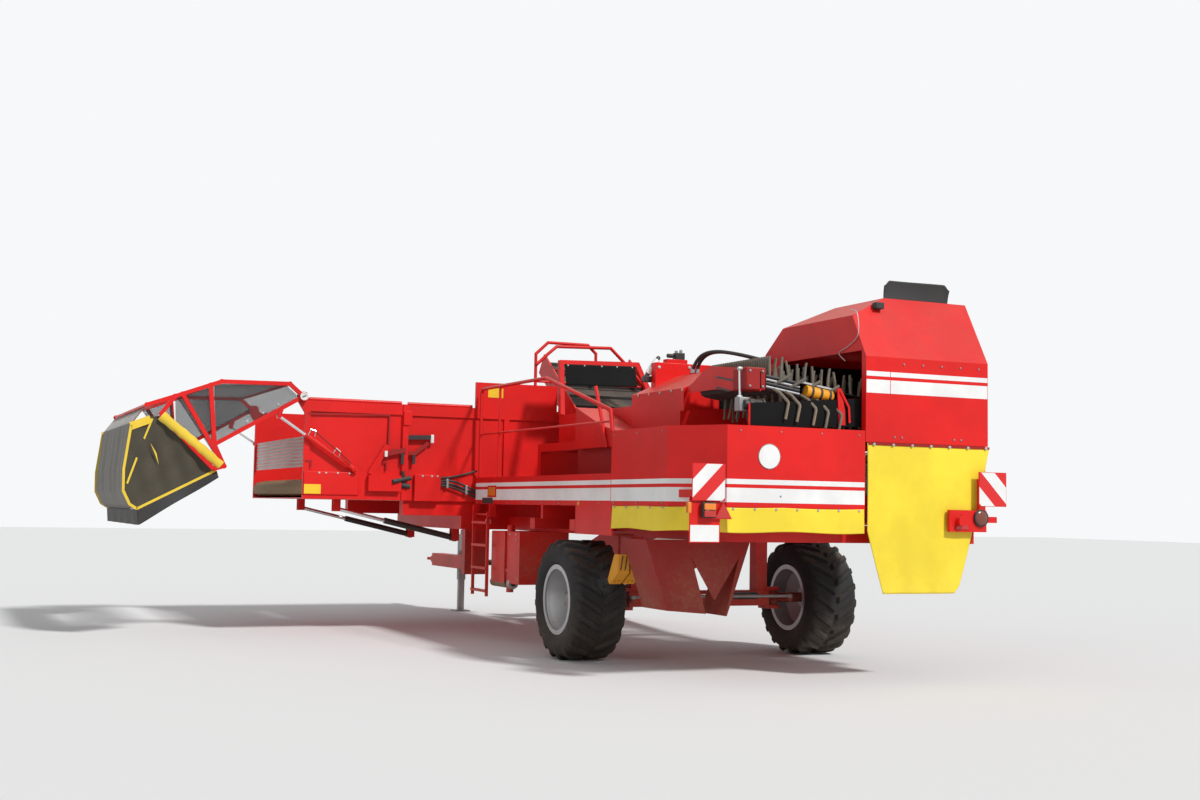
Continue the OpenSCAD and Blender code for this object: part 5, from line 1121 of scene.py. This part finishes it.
block_piece("web_case_hanger", [-0.895, -2.165, 2.120], [-0.800, -2.080, 2.232], "chassis", "grey_steel", edge=0.006)
motor("web_motor", [-0.690, -2.165, 2.175], [-1, 0, 0])
block_piece("web_motor_bracket", [-0.800, -2.222, 2.110], [-0.700, -2.200, 2.185], "chassis", "red_paint")
# The skirt, carried on to the web's left end in the blackened rubber, is partly a real rubber skirt and partly painted
# shade.
skirt = plate("web_skirt", [[-0.835, -2.2310, 1.993], [0.505, -2.2310, 2.048], [0.505, -2.2310, 2.288], [-0.835, -2.2310, 2.183]],
              (0, -0.003, 0))
place(skirt, "chassis", "painted_shade_rubber", "black_rubber")
# Black sheet in front of the cleaner's end: painted shade where the machine is dark inside.
shade_sheet = plate("cleaner_end_shade_sheet", [[-0.400, -0.9405, 1.995], [0.145, -0.9405, 1.995], [0.145, -0.9405, 2.375], [-0.400, -0.9405, 2.375]],
                   (0, -0.004, 0))
place(shade_sheet, "chassis", "painted_shade_rubber", "black_rubber")
# Black sheet inside the housing: painted shade for its dark inside.
inner = plate("housing_inner_shade_sheet", [[0.180, -0.800, 1.995], [1.360, -0.800, 1.995], [1.360, -0.800, 2.660], [0.180, -0.800, 2.660]],
              (0, 0.004, 0))
place(inner, "chassis", "painted_shade_rubber", "black_rubber")
print("finger web", round(web_length, 3), "m long")

# %% Fittings on the cleaner's lid
bolt_rows("lid_edge_bolts", [[-0.750, y, 2.374] for y in (-0.05, -0.27, -0.49, -0.71, -0.92)], "left", radius=0.012, tall=0.009,
          stuff="pale_steel")
block_piece("lid_box", [-0.560, -0.010, 2.400], [0.140, 0.086, 2.700], "chassis", "red_paint", edge=0.006)
bolt_rows("lid_box_bolts", [[-0.525, -0.010, 2.655], [-0.210, -0.010, 2.668]], "rear", radius=0.016, tall=0.010, stuff="pale_steel")
block_piece("valve_base", [-0.440, -0.005, 2.698], [-0.225, 0.080, 2.738], "chassis", "red_paint")
block_piece("valve_block", [-0.345, 0.000, 2.736], [-0.250, 0.075, 2.802], "chassis", "black_paint", edge=0.006)
for k, (x, tall) in enumerate(((-0.325, 0.024), (-0.275, 0.034))):
    place(turned(f"valve_cap_{k}", [[0, 0], [0.015, 0], [0.015, tall * 0.8], [0.010, tall], [0, tall]], [x, 0.038, 2.800], [0, 0, 1],
                 count=16), "chassis", "grey_steel")
coil = turned("valve_coil", [[0, 0], [0.010, 0], [0.010, 0.012], [0.020, 0.014], [0.020, 0.068], [0.016, 0.074], [0, 0.074]],
              [-0.345, 0.038, 2.772], [-1, 0, 0], count=20)
place(coil, "chassis", "black_rubber")
foot, head_end = np.array([-0.612, 0.100, 2.560]), np.array([-0.470, 0.100, 2.764])
rod_way = (head_end - foot) / np.linalg.norm(head_end - foot)
finishes["white_paint"] = finish("White enamel", (0.78, 0.78, 0.76), 0.35, dust=0.3)
place(turned("white_actuator", [[0, 0.045], [0.027, 0.045], [0.029, 0.050], [0.029, 0.205], [0.027, 0.210], [0, 0.210]], foot, rod_way,
             count=24), "chassis", "white_paint", "grey_steel")
place(turned("actuator_ends", [[0, -0.010], [0.016, -0.010], [0.020, 0.0], [0.020, 0.046], [0.012, 0.046], [0.012, 0.209],
                               [0.021, 0.211], [0.021, 0.236], [0.012, 0.250], [0, 0.250]], foot, rod_way, count=24),
      "chassis", "black_paint")
block_piece("actuator_bracket", [-0.635, 0.070, 2.520], [-0.545, 0.125, 2.575], "chassis", "black_paint")
print("lid fittings")

# %% Portal, hoop and chute at the picking table
portal = sweep("table_portal", [[-0.670, 1.935, 2.300], [-0.620, 2.110, 2.865], [0.270, 2.110, 2.890], [0.480, 1.935, 2.300]],
               slab(0.05, 0.05), up=(0, 1, 0.1))
place(portal, "chassis", "red_paint")
inner_hoop = sweep("inner_hoop", [[-0.700, 2.600, 2.880], [-0.561, 2.600, 3.009], [-0.467, 2.600, 3.090], [0.179, 2.600, 3.110],
                                  [0.380, 2.600, 2.930], [0.640, 2.600, 2.660]], circle(0.018, 12), up=(0, 1, 0))
place(inner_hoop, "chassis", "red_paint")
fall = np.linspace(0, 1, 14)[:, None]
over = np.linspace(-0.585, 0.235, 50)[None, :]
portal_flap = np.stack([over + 0 * fall, 2.085 - 0.060 * fall - 0.006 * fall * np.sin(14 * over), 2.850 + 0.023 * (over + 0.585)
                        - 0.225 * fall], -1)
portal_flap = tidy(surface("portal_flap", at(portal_flap), uv=np.stack([over + 0 * fall, 0.225 * fall + 0 * over], -1)), outward=False)
thicken(portal_flap, 0.005)
# The flap is real black rubber, blackened further as painted shade.
place(portal_flap, "chassis", "painted_shade_rubber", "black_rubber")
bolt_rows("portal_bolts", [[x, 2.084, 2.838 + 0.023 * (x + 0.585)] for x in (-0.55, -0.36, -0.16, 0.02, 0.20)], "rear", radius=0.010,
          stuff="pale_steel")
chute = plate("side_chute", [[-1.000, 0.808, 2.305], [-1.000, 0.200, 2.105], [-1.000, -0.380, 1.998], [-1.000, -0.400, 1.905], [-1.000, 0.808, 1.905]],
              (0.305, 0, 0))
place(chute, "chassis", "red_paint")
# Both plates take the red enamel darkened as painted shade.
block_piece("platform_inner_wall", [-0.931, -0.838, 1.374], [-0.923, 0.900, 1.912], "chassis", "dark_red_paint")
block_piece("platform_end_plate", [-1.362, -0.846, 1.374], [-0.925, -0.838, 1.985], "chassis", "dark_red_paint")
rail_x = -1.346
rail = sweep("rail_tube", [[rail_x, -0.785, 2.000], [rail_x, -0.742, 2.185], [rail_x, 0.728, 2.565], [rail_x, 2.480, 2.575],
                           [rail_x, 2.520, 2.540], [rail_x, 2.520, 1.372]], circle(0.018, 14), up=(1, 0, 0))
bars = [sweep("rail_bar", [[rail_x, -0.740, 2.088], [rail_x, 2.520, 2.096]], circle(0.010, 10), up=(1, 0, 0)),
        sweep("rail_post", [[rail_x, 1.960, 1.372], [rail_x, 1.960, 2.560]], circle(0.014, 10), up=(1, 0, 0)),
        sweep("rail_prop", [[-1.012, 0.325, 2.473], [-1.012, 0.055, 1.895]], circle(0.017, 10), up=(1, 0, 0))]
handrail = joined("platform_handrail", [rail] + bars)
place(handrail, "chassis", "red_paint")
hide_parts("handrail")
print("portal, hoop, chute and handrail")

# %% Rear lamps, hooks and the plate arm
block_piece("work_lamp", [0.390, -2.150, 3.020], [0.470, -2.085, 3.075], "chassis", "black_rubber", edge=0.008)
cable = line_set("rear_cable", [[[0.156, -2.120, 3.000], [0.156, -2.216, 2.958], [0.156, -2.232, 2.785], [0.156, -2.100, 2.700],
                                 [0.156, -1.959, 2.655], [0.156, -2.047, 2.581]]], 0.0035, stuff="pale_steel", slot_name="grey_steel")
block_piece("curtain_rail", [0.185, REAR - 0.012, 1.886], [1.385, REAR - 0.004, 1.906], "chassis", "dark_red_paint", edge=0.002)
bolt_rows("curtain_hooks", [[x, REAR - 0.012, 1.892] for x in np.linspace(0.235, 1.345, 7)], "rear", radius=0.013, tall=0.010,
          stuff="pale_steel")
bolt_rows("low_curtain_hooks", [[x, REAR - 0.006, 1.358] for x in np.linspace(-1.04, 0.10, 7)], "rear", radius=0.010, tall=0.008,
          stuff="pale_steel")
bolt_rows("side_curtain_hooks", [[LEFT - 0.006, y, 1.358] for y in np.linspace(-1.82, -0.93, 5)], "left", radius=0.010, tall=0.008,
          stuff="pale_steel")
block_piece("left_side_marker", [-1.470, REAR - 0.085, 1.321], [-1.440, REAR - 0.048, 1.402], "chassis", "amber_lens", "yellow_plastic")
block_piece("platform_reflector_back", [-1.3805, 1.930, 1.438], [-1.3765, 2.180, 1.556], "chassis", "red_paint", edge=0.001)
block_piece("platform_reflector", [-1.388, 1.960, 1.453], [-1.3795, 2.149, 1.542], "chassis", "amber_lens", "yellow_plastic")
print("rear lamps and hooks")

# %% Fittings on the bunker's rear wall
block_piece("head_low_box", [-3.206, 2.540, 1.432], [-2.640, 2.5545, 1.665], "head", "red_paint", edge=0.006)
bolt_rows("head_low_box_bolts", [[x, 2.540, 1.652] for x in (-3.05, -2.98, -2.86, -2.74)], "rear", "head", radius=0.011, stuff="pale_steel")
head_lines = [[[-3.172, 2.553, 2.245], [-2.330, 2.553, 2.262], [-2.336, 2.553, 1.954]],
              [[-3.195, 2.550, 1.768], [-3.136, 2.550, 1.768], [-3.136, 2.550, 1.700]],
              [[-2.389, 2.550, 1.779], [-2.354, 2.550, 1.779], [-2.354, 2.550, 1.694]]]
# The fold strips take the red enamel darkened as painted shade at the folds.
folds_on_head = joined("head_folds", [sweep(f"fold_{k}", line, slab(0.016, 0.007), up=(0, 1, 0)) for k, line in enumerate(head_lines)])
place(folds_on_head, "head", "dark_red_paint")
place(sweep("head_rib", [[-2.523, 2.547, 1.650], [-2.345, 2.547, 1.954]], slab(0.060, 0.016), up=(0, 1, 0)), "head", "red_paint")
block_piece("head_gusset", [-2.185, 2.524, 2.165], [-2.095, 2.545, 2.310], "head", "red_paint")
lever_parts = [sweep("lever_0", [[-2.370, 2.535, 1.862], [-2.160, 2.535, 1.908]], slab(0.050, 0.030), up=(0, 1, 0)),
               sweep("lever_1", [[-2.150, 2.572, 1.875], [-2.045, 2.572, 1.880], [-1.905, 2.572, 1.990]], slab(0.036, 0.020), up=(0, 1, 0))]
place(joined("head_levers", lever_parts), "head", "dark_red_paint")
lever_irons = [sweep("iron_0", [[-2.150, 2.572, 2.040], [-1.870, 2.572, 2.050]], slab(0.044, 0.022), up=(0, 1, 0)),
               sweep("iron_1", [[-2.056, 2.572, 1.890], [-2.058, 2.572, 1.765]], slab(0.030, 0.016), up=(0, 1, 0)),
               sweep("iron_2", [[-2.290, 2.540, 1.900], [-2.190, 2.540, 1.870], [-2.190, 2.540, 1.760]], slab(0.030, 0.024), up=(0, 1, 0))]
place(joined("head_lever_irons", lever_irons), "head", "black_paint")
block_piece("lever_post_plate", [-2.165, 2.538, 1.860], [-2.140, 2.584, 2.065], "head", "red_paint")
block_piece("lever_end_left", [-2.382, 2.512, 1.830], [-2.352, 2.552, 1.892], "head", "white_paint", "grey_steel", edge=0.006)
block_piece("lever_end_right", [-1.880, 2.556, 1.990], [-1.846, 2.588, 2.078], "head", "white_paint", "grey_steel", edge=0.006)
couplings = [sweep("coupling_0", [[-2.300, 2.482, 1.577], [-2.205, 2.505, 1.598], [-2.100, 2.530, 1.620]], circle(0.024, 12), up=(0, 0.2, 1)),
             sweep("coupling_1", [[-2.200, 2.528, 1.545], [-2.105, 2.532, 1.530]], circle(0.026, 12)),
             sweep("coupling_2", [[-2.183, 2.530, 1.690], [-2.168, 2.530, 1.560]], circle(0.018, 12), up=(0, 1, 0))]
place(joined("head_couplings", couplings), "head", "black_rubber")
block_piece("wall_valve_box", [-2.045, 2.556, 1.385], [-1.760, 2.601, 1.658], "chassis", "red_paint", edge=0.006)
bolt_rows("wall_valve_bolts", [[x, 2.556, 1.645] for x in (-1.96, -1.86, -1.80)], "rear", radius=0.011, stuff="pale_steel")
line_set("wall_hoses", [[[-1.770, 2.574, 1.599], [-1.680, 2.562, 1.604], [-1.600, 2.560, 1.592], [-1.480, 2.562, 1.550], [-1.360, 2.576, 1.500]],
                        [[-1.770, 2.580, 1.575], [-1.690, 2.574, 1.572], [-1.600, 2.572, 1.556], [-1.480, 2.574, 1.515], [-1.360, 2.580, 1.476]],
                        [[-1.770, 2.574, 1.552], [-1.680, 2.562, 1.545], [-1.570, 2.560, 1.512], [-1.470, 2.562, 1.474], [-1.360, 2.576, 1.435]],
                        [[-1.770, 2.582, 1.628], [-1.650, 2.580, 1.640], [-1.520, 2.580, 1.668], [-1.360, 2.584, 1.712]]], 0.011)
for k, (x, z) in enumerate(((-1.690, 1.575), (-1.480, 1.512))):
    block_piece(f"wall_hose_clip_{k}", [x - 0.012, 2.546, z - 0.048], [x + 0.012, 2.601, z + 0.048], "chassis", "grey_steel")
for label, body, low_x, high_x in (("head", "head", -3.165, -2.205), ("wall", "chassis", -2.120, -1.415)):
    rail_y = 2.566 if body == "head" else 2.620
    rails = [sweep(f"{label}_rail_0", [[low_x, rail_y, 2.392], [high_x, rail_y, 2.392]], circle(0.019, 12))]
    if body == "chassis":
        rails.append(sweep(f"{label}_rail_1", [[-1.980, 2.618, 2.328], [high_x, 2.618, 2.328]], circle(0.017, 12)))
    place(joined(f"{label}_top_rails", rails), body, "red_paint")
print("bunker wall fittings")

# %% Boom ram's pipe, its clamps and the pivot boss
ram_pipe = through([[-3.172, 2.490, 2.068], [-3.147, 2.478, 2.088], [-3.112, 2.474, 2.056], [-2.939, 2.474, 1.918], [-2.859, 2.474, 1.855],
                    [-2.740, 2.476, 1.752]], 8)
place(sweep("ram_pipe", ram_pipe, circle(0.0075, 10), up=(0, 1, 0)), "boom_tubes", "dark_red_paint")
clamps = [sweep(f"clamp_{k}", line, circle(0.0055, 8), up=(0, 1, 0)) for k, line in enumerate((
    [[-3.185, 2.486, 2.020], [-3.160, 2.474, 2.082], [-3.112, 2.470, 2.064], [-3.118, 2.484, 2.010]],
    [[-2.925, 2.486, 1.848], [-2.900, 2.474, 1.902], [-2.856, 2.470, 1.866], [-2.868, 2.484, 1.812]]))]
place(joined("ram_pipe_clamps", clamps), "boom_tubes", "chromed_rod")
place(turned("boom_boss", [[0, 0.002], [0.030, 0.002], [0.030, 0.008], [0.040, 0.008], [0.042, 0.0], [0, 0.0]], [-3.240, 2.474, 2.410],
             [0, -1, 0], count=36), "boom", "white_paint", "grey_steel")
# Black strip in the boss's slot: painted shade inside it.
place(sweep("boom_boss_slot_shade", [[-3.258, 2.470, 2.402], [-3.222, 2.470, 2.418]], slab(0.010, 0.004), up=(0, 1, 0)), "boom", "black_paint")
bolt_rows("boom_bolts", [[x, 2.494, z] for x, z in ((-3.493, 2.317), (-3.641, 2.227), (-3.796, 2.137))], "rear", "boom", radius=0.014,
          tall=0.012, stuff="pale_steel")
print("boom fittings")

# %% Ladder side, side boxes and wheel chocks
finishes["dusty_roller"] = finish("Roller dulled by soil", (0.22, 0.17, 0.11), 0.7, dust=0.9, soil_line=1.2)
place(turned("side_roller", [[0, 0], [0.040, 0], [0.045, 0.006], [0.045, 0.404], [0.040, 0.410], [0, 0.410]], [-1.332, 1.655, 0.585], [0, 1, 0],
             count=28), "chassis", "dusty_roller", "grey_steel")
place(turned("side_hub_ring", [[0.030, 0], [0.052, 0], [0.056, 0.006], [0.056, 0.050], [0.048, 0.058], [0.030, 0.058], [0.030, 0]],
             [-1.332, 1.570, 0.590], [0, -1, 0], count=36), "chassis", "pale_steel", "grey_steel")
place(turned("side_hub", [[0, 0], [0.031, 0], [0.031, 0.040], [0.018, 0.046], [0.016, 0.066], [0, 0.068]], [-1.332, 1.570, 0.590], [0, -1, 0],
             count=24), "chassis", "black_paint")
block_piece("ladder_latch", [-1.398, 2.130, 1.165], [-1.352, 2.185, 1.215], "chassis", "pale_steel", "grey_steel", edge=0.008)
bolt_rows("side_box_bolts", [[-1.377, y, z] for y, z in ((1.341, 1.075), (1.337, 1.020), (1.52, 1.075), (1.29, 0.64))], "left", radius=0.010,
          stuff="pale_steel")
block_piece("platform_small_reflector", [-1.3845, -0.190, 1.368], [-1.3765, -0.140, 1.400], "chassis", "amber_lens", "yellow_plastic")
block_piece("platform_junction_box", [-1.388, 2.030, 1.374], [-1.370, 2.320, 1.432], "chassis", "black_rubber")
# Black plates in the chocks' slots: painted shade inside the slots.
for k, x in enumerate((-1.337, -1.212)):
    for m, offset in enumerate((0.024, 0.064)):
        slot = np.array([[x + offset + 0.014, -0.9202, 0.948], [x + offset + 0.026, -0.9202, 0.948],
                         [x + offset + 0.008, -0.9202, 0.828], [x + offset - 0.004, -0.9202, 0.828]])
        place(plate(f"chock_slot_shade_{k}_{m}", slot, (0, -0.0015, 0)), "chassis", "black_paint")
block_piece("chock_clamp", [-1.108, -0.918, 0.775], [-1.062, -0.890, 0.962], "chassis", "grey_steel")
print("ladder side and chocks")

# %% [markdown]
# ## Floor and light
# A pale floor keeps the machine's shadow, and a white world fills it from all round. One broad
# key light from the camera's left stands for the low sun of the picture, at a plain level.

# %% Floor
floor_size = 60.0
floor = mesh_of("studio_floor", np.array([[-1, -1, 0], [1, -1, 0], [1, 1, 0], [-1, 1, 0]]) * [floor_size, floor_size, 0],
                [[0, 1, 2, 3]])
ground = bpy.data.materials.new("Pale floor")
ground.use_nodes = True
ground.node_tree.nodes["Principled BSDF"].inputs["Base Color"].default_value = (0.74, 0.74, 0.73, 1)
ground.node_tree.nodes["Principled BSDF"].inputs["Roughness"].default_value = 0.9
ground.node_tree.nodes["Principled BSDF"].inputs["Specular IOR Level"].default_value = 0.1
floor.data.materials.append(ground)

# %% World and lamps
world = bpy.data.worlds.new("Studio")
bpy.context.scene.world = world
world.use_nodes = True
tree = world.node_tree
tree.nodes.clear()
path = node(tree, "LightPath")
seen = maths(tree, "MAXIMUM", maths(tree, "MAXIMUM", path.outputs["Is Camera Ray"], path.outputs["Is Glossy Ray"]),
             path.outputs["Is Transmission Ray"])
fill = node(tree, "Background", {0: (0.95, 0.97, 1.0, 1), 1: 0.44})
backdrop = node(tree, "Background", {0: (0.93, 0.94, 0.95, 1), 1: 1.0})
both = node(tree, "MixShader", {0: seen, 1: fill.outputs[0], 2: backdrop.outputs[0]})
tree.links.new(both.outputs[0], node(tree, "OutputWorld").inputs[0])


def sun(name, strength, direction, angle):
    """Distant lamp: its light runs along the direction."""
    light = bpy.data.lights.new(name, "SUN")
    light.energy, light.angle = strength, math.radians(angle)
    lamp_object = bpy.data.objects.new(name, light)
    bpy.context.collection.objects.link(lamp_object)
    lamp_object.rotation_euler = Vector(direction).to_track_quat("-Z", "Y").to_euler()


sun("Key", 2.9, (-0.30, 0.75, -0.70), 6)
sun("Fill", 0.22, (0.8, 0.5, -0.5), 30)
bpy.context.scene.view_settings.view_transform = "Standard"
print("studio ready")
